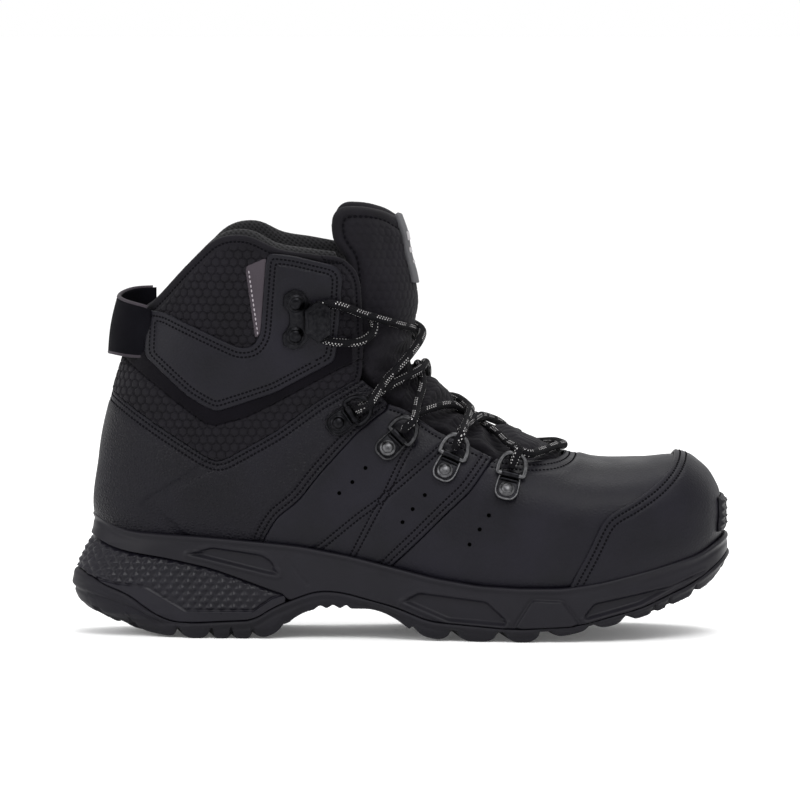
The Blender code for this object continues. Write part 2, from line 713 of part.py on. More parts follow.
def make_ring(name, frame):
    """Bent wire ring: straight bar in the clip and a rounded far side."""
    tilt = math.radians(RING_TILT)
    path = []
    half = 5.6
    reach = RING_REACH
    for x, y in ((0, -half), (0, 0), (0, half), (1.8, half + 0.9), (reach * 0.55, half + 0.6),
                 (reach * 0.84, half - 1.0), (reach * 0.99, half - 3.6), (reach, 0),
                 (reach * 0.99, -half + 3.6), (reach * 0.84, -half + 1.0),
                 (reach * 0.55, -half - 0.6), (1.8, -half - 0.9)):
        path.append(Vector((x * math.cos(tilt), y, 2.5 + x * math.sin(tilt))))
    lift = Vector((-math.sin(tilt), 0, math.cos(tilt)))
    points = []
    count = len(path)
    sides = 6
    for i, spot in enumerate(path):
        run = (path[(i + 1) % count] - path[i - 1]).normalized()
        wide = run.cross(lift).normalized()
        for k in range(sides):
            a = 2 * math.pi * k / sides
            points.append(spot + RING_ROD / 2 * (wide * math.cos(a) + lift * math.sin(a)))
    faces = []
    for i in range(count):
        for k in range(sides):
            a = i * sides + k
            b = i * sides + (k + 1) % sides
            c = ((i + 1) % count) * sides
            faces.append((a, b, c + (k + 1) % sides, c + k))
    return place(mesh_object(name, points, faces), frame)


def make_hook(name, frame):
    """Speed hook: riveted base, a post and a six-sided tab over the lace."""
    base = plate([(-16.5, -11.8), (-13, -14.0), (-8.2, -12.4), (-5.0, -7), (2.6, -5), (2.6, 5),
                  (-5.0, 7), (-8.2, 12.4), (-13, 14.0), (-16.5, 11.8), (-15.2, 5),
                  (-15.2, -5)], 2.3, 3.1)
    post = plate([(-1.0, -2.8), (1.6, -2.8), (1.6, 2.8), (-1.0, 2.8)], 2.6, 8.8)
    tab = plate([(-5.6, -5.2), (0.5, -9.6), (5.6, -6.0), (5.6, 6.0), (0.5, 9.6), (-5.6, 5.2)],
                8.4, 9.5)
    body = combine(base, post, "UNION")
    body = combine(body, tab, "UNION")
    body.name = name
    return place(body, frame)


# ---------------------------------------------------------------- lace
def ring_turn(frame, upper_first, lean):
    """The lace's route through one ring: over, round the far bar and back under."""
    tilt = math.radians(RING_TILT)
    way = Vector((math.cos(tilt), 0, math.sin(tilt)))
    lift = Vector((-math.sin(tilt), 0, math.cos(tilt)))
    bar = Vector((0, 0, 2.5)) + way * RING_REACH
    spots = []
    for degrees in (62, 100, 140, 180, 220, 260, 298):
        a = math.radians(degrees)
        share = (degrees - 180) / 118
        spot = bar + way * (LACE_TURN * math.cos(a)) + lift * (LACE_TURN * math.sin(a))
        spot = spot + Vector((0, lean * share * 1.2, 0))
        spots.append(frame @ spot)
    return spots if upper_first else spots[::-1]


def hook_turn(frame, top_first):
    spots = [(9.0, 7.4, 5.6), (3.4, 7.2, 5.7), (-2.8, 6.2, 5.8), (-4.7, 2.3, 5.8),
             (-4.7, -2.3, 5.8), (-2.8, -6.4, 5.8), (2.6, -8.8, 5.7), (8.0, -10.4, 5.4)]
    out = [frame @ Vector((x, y, z)) for x, y, z in spots]
    return out if top_first else out[::-1]


def span(start, end, middle, height, leave, arrive):
    """Route across the instep from one fitting to the opposite one."""
    out = []
    for share in (0.3, 0.62):
        spot = start.lerp(middle, share)
        out.append(above(spot, leave * (1 - share) + height * share))
    out.append(above(middle, height))
    for share in (0.38, 0.7):
        spot = middle.lerp(end, share)
        out.append(above(spot, height * (1 - share) + arrive * share))
    return out


def lace_half(side, height):
    """From the tucked end past the hook and the rings of alternating sides."""
    route = []
    hook = fitting_frame(HOOK[0], HOOK[1], 0.0, side)
    flip = -side
    turned = hook.copy()
    if side > 0:
        turned = hook @ Matrix.Diagonal((1, -1, 1, 1))
    tucked = [(-11.8, 149.0, -3.4), (-12.0, 146.0, 0.2), (-14.6, 142.6, 3.0), (-21.0, 139.6, 4.8)]
    for x, z, height_here in tucked:
        spot, out = from_side(x, z, side)
        route.append(spot + out * height_here)
    route += hook_turn(turned, False)
    where = side
    for number, ring in enumerate(RINGS):
        where = -where
        frame = fitting_frame(*ring, where)
        turn = ring_turn(frame, True, 1.0 if where < 0 else -1.0)
        cross = CROSSINGS[number]
        middle = Vector((cross[0], 0.0, cross[1]))
        route += span(route[-1], turn[0], middle, height, 5.2 if number == 0 else 4.4, 9.0)
        route += turn
    return route, flip


def lace_route():
    first, _ = lace_half(-1, -3.7)
    second, _ = lace_half(1, 0.6)
    front = []
    for share in (-0.66, -0.33, 0.0, 0.33, 0.66):
        y = 26.0 * share * -1.0
        x = FRONT_BAR[0] - 12.0 * abs(share) ** 1.6
        front.append(above((x, y, FRONT_BAR[1] - 4 * abs(share)), 3.3))
    front = [above((60.0, 37.0, 85.5), 5.6), *front, above((60.0, -37.0, 85.5), 5.6)]
    if first[-1].y > 0:
        front = front
    else:
        front = front[::-1]
    return first + front + second[::-1]


def make_lace():
    """Round lace as a tube swept along its own smooth route."""
    rough = catmull([tuple(p) for p in lace_route()], 6)
    rough = np.array(rough)
    picked = [rough[0]]
    for before, here, after in zip(rough[:-2], rough[1:-1], rough[2:]):
        gone = np.linalg.norm(here - picked[-1])
        turn = (here - before) / max(np.linalg.norm(here - before), 1e-6)
        ahead = (after - here) / max(np.linalg.norm(after - here), 1e-6)
        bend = np.linalg.norm(ahead - turn)
        if gone > (2.9 if bend > 0.12 else 11.0):
            picked.append(here)
    picked.append(rough[-1])
    curve = bpy.data.curves.new("lace", "CURVE")
    curve.dimensions = "3D"
    curve.bevel_depth = LACE_D / 2 * MM
    curve.bevel_resolution = 2
    curve.use_fill_caps = True
    spline = curve.splines.new("POLY")
    spline.points.add(len(picked) - 1)
    for point, spot in zip(spline.points, picked):
        point.co = (*[float(c) * MM for c in spot], 1.0)
    item = bpy.data.objects.new("lace", curve)
    bpy.context.scene.collection.objects.link(item)
    return item


# ---------------------------------------------------------------- assembly
def finish(item, group, mat, axis=None):
    """Material, smooth shading and, for a moving piece, its origin on the axis."""
    item.data.materials.clear()
    item.data.materials.append(mat)
    if item.type == "MESH":
        for face in item.data.polygons:
            face.use_smooth = False
    if axis is not None:
        shift = Vector(axis) * MM
        item.data.transform(Matrix.Translation(-shift))
        item.location = shift
    for held in list(item.users_collection):
        held.objects.unlink(item)
    group.objects.link(item)


def build():
    clear_scene()
    group = make_collection(BOOT)
    leather = material("leather_smooth", (0.035, 0.035, 0.042), 0.5)
    embossed = material("leather_embossed", (0.03, 0.03, 0.036), 0.55)
    textile = material("textile", (0.022, 0.022, 0.026), 0.85)
    accent = material("accent_leather", (0.12, 0.10, 0.115), 0.6)
    mesh_cloth = material("mesh_lining", (0.02, 0.02, 0.023), 0.9)
    rubber = material("sole_rubber", (0.025, 0.025, 0.028), 0.75)
    foam = material("midsole_foam", (0.032, 0.032, 0.037), 0.7)
    cushion = material("heel_cushion_rubber", (0.045, 0.045, 0.05), 0.6)
    steel = material("toe_cap_steel", (0.45, 0.45, 0.46), 0.4, 1.0)
    board = material("board_fibre", (0.35, 0.28, 0.2), 0.85)
    inner_foam = material("inner_foam", (0.12, 0.12, 0.12), 0.9)
    gunmetal = material("gunmetal", (0.16, 0.16, 0.17), 0.35, 1.0)
    black_metal = material("black_metal", (0.03, 0.03, 0.033), 0.4, 0.8)
    webbing = material("webbing", (0.02, 0.02, 0.022), 0.8)
    print_grey = material("label_grey", (0.08, 0.08, 0.09), 0.8)
    braid = material("lace_braid", (0.03, 0.03, 0.032), 0.85)

    finish(make_tread(), group, rubber)
    finish(make_toe_bumper(), group, rubber)
    finish(make_cushion(), group, cushion)
    finish(make_midsole(), group, foam)
    finish(make_shank(), group, steel)
    finish(make_filler(), group, inner_foam)
    finish(make_insole_board(), group, board)
    finish(make_toe_cap(), group, steel)
    finish(make_heel_counter(), group, board)
    finish(make_interlining("interlining_lateral", -1), group, inner_foam)
    finish(make_interlining("interlining_medial", 1), group, inner_foam)
    finish(make_ankle_foam(), group, inner_foam)
    finish(make_lining(), group, mesh_cloth)
    finish(make_footbed(), group, mesh_cloth)
    finish(make_vamp(), group, leather)
    finish(make_side_panel("side_panel_lateral", -1), group, leather)
    finish(make_side_panel("side_panel_medial", 1), group, leather)
    finish(make_rear_quarter(), group, embossed)
    finish(make_collar_textile(), group, textile)
    finish(make_toe_guard(), group, leather)
    finish(make_ankle_overlay("ankle_overlay_lateral", -1), group, leather)
    finish(make_ankle_overlay("ankle_overlay_medial", 1), group, leather)
    finish(make_accent("accent_lateral", -1), group, accent)
    finish(make_accent("accent_medial", 1), group, accent)
    hinge = (TONGUE_HINGE[0], 0, TONGUE_HINGE[1])
    finish(make_tongue_lower(), group, textile)
    finish(make_tongue_flap(), group, textile, hinge)
    finish(make_tongue_label(), group, print_grey, hinge)
    finish(make_heel_loop(), group, webbing, (LOOP_HINGE[0], 0, LOOP_HINGE[1]))

    for side, word in ((-1, "lateral"), (1, "medial")):
        for number, (x, z, degrees) in enumerate(RINGS, 1):
            frame = fitting_frame(x, z, degrees, side)
            axis = frame @ Vector((0, 0, 2.5))
            finish(make_clip(f"ring_clip_{word}_{number}", frame), group, black_metal)
            rivet = dome("rivet", (-7.5, 0.0), 2.7, 1.6, 3.1)
            rivet.name = f"ring_rivet_{word}_{number}"
            finish(place(rivet, frame), group, gunmetal)
            finish(make_ring(f"lace_ring_{word}_{number}", frame), group, gunmetal, axis)
        frame = fitting_frame(HOOK[0], HOOK[1], 0.0, side)
        finish(make_hook(f"hook_{word}", frame), group, black_metal)
        for spot, level in (((-11.6, 8.4), "upper"), ((-11.6, -8.4), "lower")):
            turned = (spot[0], spot[1] * (1 if side < 0 else -1))
            rivet = dome("rivet", turned, 2.9, 3.4, 5.0)
            rivet.name = f"hook_rivet_{word}_{level}"
            finish(place(rivet, frame), group, black_metal)
    finish(make_lace(), group, braid)


GRID, NORMAL = last_grid(ROWS, COLS)
TREE = surface_tree()
WALL_X, WALL_OUT, WALL_IN = sole_wall_table()
HEEL_END = WALL_X[0]
TOE_END = WALL_X[-1]
build()
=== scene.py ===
"""Looks of the steel toe work boot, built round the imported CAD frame."""
import math
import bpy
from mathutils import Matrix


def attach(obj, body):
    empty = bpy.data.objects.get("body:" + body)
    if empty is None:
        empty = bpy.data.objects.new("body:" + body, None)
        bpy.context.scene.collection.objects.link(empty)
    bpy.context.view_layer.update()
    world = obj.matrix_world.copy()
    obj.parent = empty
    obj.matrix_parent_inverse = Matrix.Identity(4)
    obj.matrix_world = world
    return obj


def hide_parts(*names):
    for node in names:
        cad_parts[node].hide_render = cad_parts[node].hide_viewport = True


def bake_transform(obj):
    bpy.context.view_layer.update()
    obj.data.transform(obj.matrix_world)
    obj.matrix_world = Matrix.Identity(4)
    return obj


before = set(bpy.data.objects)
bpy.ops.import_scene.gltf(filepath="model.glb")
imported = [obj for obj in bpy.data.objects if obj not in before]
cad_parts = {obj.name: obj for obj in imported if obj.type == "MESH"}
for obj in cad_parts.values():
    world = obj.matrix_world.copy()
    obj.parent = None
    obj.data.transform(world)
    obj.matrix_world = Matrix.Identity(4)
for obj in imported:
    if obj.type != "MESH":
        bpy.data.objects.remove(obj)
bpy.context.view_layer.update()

from types import SimpleNamespace

import bmesh
import bpy
import numpy as np
from mathutils import Matrix, Vector
from mathutils.bvhtree import BVHTree
from mathutils.geometry import delaunay_2d_cdt
from mathutils.kdtree import KDTree

MM = 0.001

# ---------------------------------------------------------------- the last, as in the CAD (mm)
STATIONS = (
    ((149.2, 62.0), (149.2, 50.0), 5.0, 2.2, 2.4),
    ((147.0, 69.5), (147.8, 42.0), 18.0, 2.3, 2.8),
    ((141.2, 78.0), (142.2, 36.0), 29.0, 2.4, 3.4),
    ((130.0, 84.0), (130.0, 30.0), 38.5, 2.5, 4.0),
    ((112.0, 83.0), (109.0, 23.5), 46.0, 2.5, 4.5),
    ((90.0, 83.0), (84.0, 17.5), 49.5, 2.4, 4.5),
    ((67.0, 89.5), (57.0, 15.5), 49.5, 2.3, 4.5),
    ((43.0, 101.0), (27.0, 18.5), 46.0, 2.2, 4.5),
    ((25.0, 112.5), (-4.0, 24.0), 41.0, 2.2, 4.2),
    ((14.0, 124.0), (-38.0, 31.0), 37.0, 2.2, 4.0),
    ((11.0, 136.0), (-75.0, 36.0), 35.5, 2.2, 3.8),
    ((11.5, 147.0), (-113.0, 38.5), 35.5, 2.2, 3.2),
    ((13.0, 156.0), (-142.0, 52.0), 36.5, 2.3, 2.6),
    ((13.5, 165.0), (-141.5, 84.0), 38.0, 2.4, 2.3),
    ((13.5, 173.0), (-136.5, 110.0), 39.5, 2.4, 2.3),
    ((12.0, 182.0), (-129.0, 135.0), 40.5, 2.4, 2.3),
    ((10.0, 190.0), (-122.0, 157.0), 41.0, 2.4, 2.3),
    ((6.0, 199.0), (-118.0, 179.0), 41.0, 2.4, 2.3),
    ((2.0, 208.0), (-116.0, 199.0), 41.0, 2.4, 2.3),
)
RIM_TOP = ((-148, 58), (-143, 57), (-134, 52), (-125, 49.8), (-95, 48), (-66, 45.6), (-47, 43.7),
           (-22, 39), (-3, 34.3), (16, 29.6), (37, 26.3), (56, 25.4), (76, 25.4), (94, 28.2),
           (119, 34.3), (140, 40.4), (149, 46.5), (155, 50))
RIM_LOW = ((-148, 48), (-144, 46.6), (-138, 43.4), (-128, 40.4), (-109, 37.6), (-88, 33),
           (-73, 27.7), (-56, 21.5), (-50, 20.0))
TREAD_TOP = ((-155, 32), (-145, 25), (-131, 19.7), (-119, 11.7), (-109, 7.5), (-97, 7), (-68, 8.5),
             (-59, 14.6), (-47, 19.5), (-38, 22.5), (-27, 22), (-2, 15.4), (14, 9), (52, 6),
             (82, 7.5), (113, 16), (136, 26), (148, 35), (155, 44))
TREAD_LOW = ((-155, 26), (-149.5, 14), (-144, 12), (-136, 7.6), (-131, 4.7), (-117, 1.6),
             (-100, 0), (-66, 0), (-58, 2), (-47, 12), (-37, 14.5), (-12, 14.5), (-2, 10.5),
             (6, 4), (14, 1),
             (34, 0), (60, 0), (78, 3.4), (100, 8), (118, 13), (137, 20.5), (147, 27), (155, 38))
# Lace fittings and lace: places in the side view (mm), aims in degrees, lengths in mm.
RINGS = ((-22.4, 105.2, 34.0), (-0.2, 94.6, 47.0), (24.4, 85.4, 67.0), (51.4, 76.8, 77.0))
HOOK = (-39.0, 150.0)
CROSSINGS = ((8.0, 142.0), (12.2, 127.5), (35.5, 111.5), (41.0, 104.5))
FRONT_BAR = (76.0, 87.0)
LOOP_HINGE = (-118.6, 143.0)
RING_REACH = 9.9            # from a ring's bar to its far end
RING_TILT = 27.0            # how steeply the rings stand off the leather
LACE_TURN = 5.2             # radius of the lace's turn round a ring
LACE_D = 4.0
RIM = 3.2                   # how far the midsole's rim stands out from the last
GAP = 0.3                   # air left between two sole slabs
ROWS = 600         # fineness of the skin along and round the last
COLS = 432

# Outlines seen from the side (mm).
COLLAR = ((-130, 150), (-120, 154), (-113, 160), (-98, 176), (-85, 187), (-71, 188.6),
          (-56, 182.6), (-42, 180.4), (-28, 178.6))
SEAM_REAR = ((-66, 30), (-63.7, 45.6), (-57.6, 56.4), (-46.8, 64.9), (-37.4, 77.1), (-19, 97.3),
             (-8.2, 105.8), (4, 112))
SEAM_VAMP = ((-14, 20), (-3.5, 34.8), (10.6, 48.4), (22.3, 60.2), (32.7, 70), (43.5, 85), (46, 95))
QUARTER_TOP = ((-150, 125), (-133.2, 113.7), (-112.6, 99.6), (-88.1, 84.1), (-83, 83.2),
               (-57.6, 97.3), (-37.4, 111.9), (-20, 121.7), (-5, 130))
ANKLE = ((-117.5, 153), (-108.8, 152.3), (-74, 136.3), (-67.9, 137.2), (-64.6, 142.4),
         (-61.8, 177.7), (-59.9, 180.6), (-49.6, 179.5), (-30, 174.8), (-26.5, 170.6),
         (-27.3, 158.4), (-29.4, 136.3), (-30.3, 130.2), (-57.6, 115.6), (-84.4, 106.7),
         (-88.1, 107.6), (-98.5, 113.7), (-118.5, 132))
ACCENT = ((-71.6, 174.2), (-61.3, 178.6), (-63.9, 143.6), (-66.9, 140.2))
GUARD_BACK = ((75.5, 15), (78.7, 25.9), (87.7, 42.3), (93.8, 55.5), (97.5, 59.7), (108.3, 65.3),
              (119.1, 72.4), (127.1, 80.4), (132, 95))


# ---------------------------------------------------------------- small maths
def spline_part(a, b, c, d, count):
    """Evenly spaced points of a smooth curve from b up to c, which a and d lean on."""
    return [0.5 * (2 * b + (c - a) * t + (2 * a - 5 * b + 4 * c - d) * t * t
                   + (3 * b - a - 3 * c + d) * t ** 3) for t in (k / count for k in range(count))]


def catmull(points, count):
    """Smooth open curve through all the points, count steps between neighbours."""
    pts = [np.array(p, float) for p in points]
    pts = [2 * pts[0] - pts[1]] + pts + [2 * pts[-1] - pts[-2]]
    out = []
    for i in range(1, len(pts) - 2):
        out += spline_part(*pts[i - 1:i + 3], count)
    out.append(pts[-2])
    return out


def run_along(points):
    """Distance from the first point of a line to each of its points."""
    return np.concatenate([[0], np.cumsum(np.linalg.norm(np.diff(points, axis=0), axis=1))])


def sampled(at, run, values):
    """Every column of values, known at the distances run, read off at other distances."""
    return np.stack([np.interp(at, run, column) for column in values.T], axis=1)


def turned_out(line):
    """Unit normals in the plane of a closed line."""
    run = np.roll(line, -1, axis=0) - np.roll(line, 1, axis=0)
    run /= np.maximum(np.linalg.norm(run, axis=1, keepdims=True), 1e-9)
    return np.stack([run[:, 1], -run[:, 0]], 1)


def plan_area(line):
    """Area inside a closed line, positive where it runs anticlockwise."""
    x, y = line[:, 0], line[:, 1]
    return 0.5 * np.sum(x * np.roll(y, -1) - np.roll(x, -1) * y)


def rounded(points, radius, closed=True):
    """The outline with its corners turned into short curves."""
    pts = [np.array(p, float) for p in points]
    count = len(pts)
    out = []
    for i, here in enumerate(pts):
        if not closed and i in (0, count - 1):
            out.append(here)
            continue
        before = pts[i - 1]
        after = pts[(i + 1) % count]
        a = min(radius, 0.45 * np.linalg.norm(before - here))
        b = min(radius, 0.45 * np.linalg.norm(after - here))
        start = here + (before - here) / max(np.linalg.norm(before - here), 1e-9) * a
        end = here + (after - here) / max(np.linalg.norm(after - here), 1e-9) * b
        for t in (0.0, 0.25, 0.5, 0.75, 1.0):
            out.append((1 - t) ** 2 * start + 2 * t * (1 - t) * here + t * t * end)
    return np.array(out)


def line_distance(x, z, line, closed=False):
    """Distance of many side-view points to a line."""
    pts = np.array(line, float)
    if closed:
        pts = np.vstack([pts, pts[:1]])
    best = np.full(len(x), 1e9)
    for a, b in zip(pts[:-1], pts[1:]):
        d = b - a
        size = float(d @ d) + 1e-12
        t = np.clip(((x - a[0]) * d[0] + (z - a[1]) * d[1]) / size, 0, 1)
        best = np.minimum(best, np.hypot(x - a[0] - t * d[0], z - a[1] - t * d[1]))
    return best


def inside(x, z, outline):
    """Which side-view points lie inside an outline."""
    pts = np.array(outline, float)
    hit = np.zeros(len(x), bool)
    for a, b in zip(pts, np.roll(pts, -1, axis=0)):
        if a[1] == b[1]:
            continue
        cross = (a[1] > z) != (b[1] > z)
        hit ^= cross & (x < a[0] + (z - a[1]) * (b[0] - a[0]) / (b[1] - a[1]))
    return hit


def area_field(x, z, outline):
    """Negative inside the outline, positive outside, in mm."""
    d = line_distance(x, z, outline, True)
    return np.where(inside(x, z, outline), -d, d)


def bump(d, centre, width):
    """A rounded hill of height one."""
    return np.exp(-((d - centre) / width) ** 2)


def along(line, x):
    """Height of a line of (x, height) points, its last values kept beyond its ends."""
    return np.interp(x, [p[0] for p in line], [p[1] for p in line])


def smooth_along(line, x):
    """The height line with its corners softened over a few millimetres."""
    return sum(along(line, np.asarray(x) + s) for s in (-4, -2, 0, 2, 4)) / 5


def ease(t):
    """Smooth step from nothing to one."""
    t = np.clip(t, 0, 1)
    return t * t * (3 - 2 * t)


# ---------------------------------------------------------------- the skin grid
def last_section(values, cols):
    """One closed ring round the last, its points evenly spaced, and its girth."""
    fx, fz, bx, bz, half, top, low = values
    turn = np.linspace(0.0, 2 * np.pi, 721)
    c = np.cos(turn)
    s = np.sin(turn)
    power = np.where(c >= 0, 2 / top, 2 / low)
    along_axis = np.sign(c) * np.abs(c) ** power
    across = np.sign(s) * np.abs(s) ** power
    cx, cz = (fx + bx) / 2, (fz + bz) / 2
    ring = np.stack([cx + along_axis * (fx - bx) / 2, across * half,
                     cz + along_axis * (fz - bz) / 2], axis=1)
    run = run_along(ring)
    return sampled(np.linspace(0, run[-1], cols + 1)[:-1], run, ring), run[-1]


def last_grid(rows, cols, first=0.0, last=1.0):
    """Points, outward normals and girths of the last between two shares of its length."""
    table = [(*f, *b, w, t, low) for f, b, w, t, low in STATIONS]
    fine = np.array(catmull(table, 16))
    reach = 0.5 * np.linalg.norm(np.diff(fine[:, 0:2], axis=0), axis=1)
    reach += 0.5 * np.linalg.norm(np.diff(fine[:, 2:4], axis=0), axis=1)
    run = np.concatenate([[0], np.cumsum(reach + 0.01)])
    even = np.linspace(first * run[-1], last * run[-1], rows)
    made = [last_section(v, cols) for v in sampled(even, run, fine)]
    grid = np.array([m[0] for m in made])
    girth = np.array([m[1] for m in made])
    forward = np.gradient(grid, axis=0)
    around = (np.roll(grid, -1, axis=1) - np.roll(grid, 1, axis=1)) / 2
    normal = np.cross(forward, around)
    normal = normal / np.maximum(np.linalg.norm(normal, axis=2, keepdims=True), 1e-9)
    centre = grid.mean(axis=1, keepdims=True)
    if float(((grid - centre) * normal).sum()) < 0:
        normal = -normal
    return grid, normal, girth


class Skin:
    """The last's surface as flat arrays of points, normals and triangles."""

    def __init__(self, rows, cols, first=0.0, last=1.0):
        with_tip = first == 0.0
        grid, normal, girth = last_grid(rows, cols, first, last)
        self.p = grid.reshape(-1, 3)
        self.n = normal.reshape(-1, 3)
        turn = np.arange(cols) / cols
        front = np.where(turn > 0.5, turn - 1, turn)
        self.front = (front[None, :] * girth[:, None]).reshape(-1)
        i, j = np.meshgrid(np.arange(rows - 1), np.arange(cols), indexing="ij")
        a = (i * cols + j).ravel()
        b = (i * cols + (j + 1) % cols).ravel()
        c = b + cols
        d = a + cols
        even = ((i + j) % 2 == 0).ravel()
        first = np.where(even[:, None], np.stack([a, b, c], 1), np.stack([a, b, d], 1))
        second = np.where(even[:, None], np.stack([a, c, d], 1), np.stack([b, c, d], 1))
        self.t = np.concatenate([first, second])
        if with_tip:
            tip = len(self.p)
            spot, way = grid[0].mean(axis=0), normal[0].mean(axis=0)
            self.p = np.vstack([self.p, spot])
            self.n = np.vstack([self.n, way / np.linalg.norm(way)])
            self.front = np.append(self.front, 0.0)
            ring = np.arange(cols)
            self.t = np.concatenate([self.t, np.stack([(ring + 1) % cols, ring,
                                                       np.full(cols, tip)], 1)])
        face = self.p[self.t[0]]
        if np.dot(np.cross(face[1] - face[0], face[2] - face[0]), self.n[self.t[0][0]]) < 0:
            self.t = self.t[:, ::-1]


def side_run(p):
    """Distance round the boot seen from the side, wrapping round the heel."""
    turn = np.arctan2(-(p[:, 0] + 90), np.abs(p[:, 1]))
    return np.where(p[:, 0] > -90, p[:, 0], -90 - 39.0 * turn)


class Piece:
    """A cut of the skin: points, normals, triangles and the distance to its edge."""

    def __init__(self, skin, f):
        keep = (f[skin.t] < 0).any(axis=1)
        tri = skin.t[keep]
        count = len(skin.p)
        sign = f[tri] < 0
        whole = tri[sign.all(axis=1)]
        out = [whole]
        pairs = []
        mixed = tri[~sign.all(axis=1)]
        ms = f[mixed] < 0
        new_faces = []
        for k in range(3):
            one = ms[:, k] & ~ms[:, (k + 1) % 3] & ~ms[:, (k + 2) % 3]
            t = mixed[one]
            a, b, c = t[:, k], t[:, (k + 1) % 3], t[:, (k + 2) % 3]
            new_faces.append(("one", a, (a, b), (a, c)))
            two = ms[:, k] & ms[:, (k + 1) % 3] & ~ms[:, (k + 2) % 3]
            t = mixed[two]
            a, b, c = t[:, k], t[:, (k + 1) % 3], t[:, (k + 2) % 3]
            new_faces.append(("two", a, b, (b, c), (a, c)))
        for item in new_faces:
            for part in item[1:]:
                if isinstance(part, tuple):
                    pairs.append(np.sort(np.stack(part, 1), axis=1))
        allpairs = np.concatenate(pairs)
        key = allpairs[:, 0].astype(np.int64) * count + allpairs[:, 1]
        unique, back = np.unique(key, return_inverse=True)
        lo, hi = unique // count, unique % count
        t = f[lo] / (f[lo] - f[hi] + 1e-30)
        cursor = 0
        for item in new_faces:
            ids = []
            for part in item[1:]:
                if isinstance(part, tuple):
                    size = len(part[0])
                    ids.append(count + back[cursor:cursor + size])
                    cursor += size
                else:
                    ids.append(part)
            if item[0] == "one":
                out.append(np.stack(ids, 1))
            else:
                a, b, bc, ac = ids
                out.append(np.stack([a, b, bc], 1))
                out.append(np.stack([a, bc, ac], 1))
        tris = np.concatenate(out)
        used, flat = np.unique(tris, return_inverse=True)
        self.t = flat.reshape(-1, 3)

        def blend(values):
            w = t if values.ndim == 1 else t[:, None]
            extra = values[lo] * (1 - w) + values[hi] * w
            return np.concatenate([values, extra])[used]

        self.p = blend(skin.p)
        n = blend(skin.n)
        self.n = n / np.linalg.norm(n, axis=1, keepdims=True)
        self.front = blend(skin.front)
        d = np.concatenate([-f, np.zeros(len(unique))])[used]
        self.d = np.maximum(d, 0)
        self.x = self.p[:, 0]
        self.z = self.p[:, 2]


def keep_main(tri, count):
    """Marks the triangles of the largest connected part."""
    parent = np.arange(count)
    for _ in range(400):
        low = parent[tri].min(axis=1)
        before = parent.copy()
        np.minimum.at(parent, tri.ravel(), np.repeat(low, 3))
        parent = parent[parent]
        if (parent == before).all():
            break
    label = parent[tri[:, 0]]
    values, sizes = np.unique(label, return_counts=True)
    return label == values[sizes.argmax()]


def shell(name, piece, top, bottom):
    """A closed body from a cut: outer heights, inner heights, meeting at the edge."""
    good = keep_main(piece.t, len(piece.p))
    tri = piece.t[good]
    used, flat = np.unique(tri, return_inverse=True)
    tri = flat.reshape(-1, 3)
    top = np.asarray(top)[used]
    bottom = np.broadcast_to(np.asarray(bottom, float), (len(piece.p),))[used]
    edges = np.sort(np.concatenate([tri[:, [0, 1]], tri[:, [1, 2]], tri[:, [2, 0]]]), axis=1)
    key = edges[:, 0].astype(np.int64) * len(used) + edges[:, 1]
    uniq, uses = np.unique(key, return_counts=True)
    border = uniq[uses == 1]
    on_edge = np.zeros(len(used), bool)
    on_edge[border // len(used)] = True
    on_edge[border % len(used)] = True
    p, n = piece.p[used], piece.n[used]
    outer = p + n * top[:, None]
    inner_ids = np.where(on_edge, np.arange(len(used)), 0)
    free = np.flatnonzero(~on_edge)
    inner_ids[free] = len(used) + np.arange(len(free))
    inner = (p + n * bottom[:, None])[free]
    points = np.concatenate([outer, inner])
    faces = np.concatenate([tri, inner_ids[tri][:, ::-1]])
    item = new_mesh(name, points, faces)
    layer = item.data.uv_layers.new(name="skin")
    loops = np.zeros(len(item.data.loops), int)
    item.data.loops.foreach_get("vertex_index", loops)
    coords = np.stack([piece.front[used], p[:, 2]], 1) * MM * 10
    both = np.concatenate([coords, coords[free]])
    layer.data.foreach_set("uv", both[loops].ravel())
    return item


def new_mesh(name, points, faces):
    """A smooth-shaded object from points in mm; a name the CAD has gets _made."""
    name = name + "_made" if name in bpy.data.objects else name
    mesh = bpy.data.meshes.new(name)
    points = np.asarray(points, float) * MM
    if isinstance(faces, np.ndarray):
        width = faces.shape[1]
        mesh.vertices.add(len(points))
        mesh.vertices.foreach_set("co", points.ravel())
        mesh.loops.add(faces.size)
        mesh.loops.foreach_set("vertex_index", faces.ravel().astype(np.int32))
        mesh.polygons.add(len(faces))
        mesh.polygons.foreach_set("loop_start", np.arange(len(faces), dtype=np.int32) * width)
        mesh.polygons.foreach_set("loop_total", np.full(len(faces), width, dtype=np.int32))
        mesh.update(calc_edges=True)
        mesh.validate()
    else:
        mesh.from_pydata([tuple(p) for p in points], [], faces)
        mesh.update()
    item = bpy.data.objects.new(name, mesh)
    bpy.context.scene.collection.objects.link(item)
    mesh.polygons.foreach_set("use_smooth", np.ones(len(mesh.polygons), bool))
    return item


def pill(d, radius):
    """Share of a soft piece's full thickness at a distance from its edge."""
    return np.sqrt(np.maximum(1 - (1 - np.clip(d / radius, 0, 1)) ** 2, 0))


def rolled(d, height, radius):
    """Height of a face whose edge rolls down over a radius."""
    k = np.clip(d, 0, radius)
    return height - radius + np.sqrt(np.maximum(radius ** 2 - (radius - k) ** 2, 0))


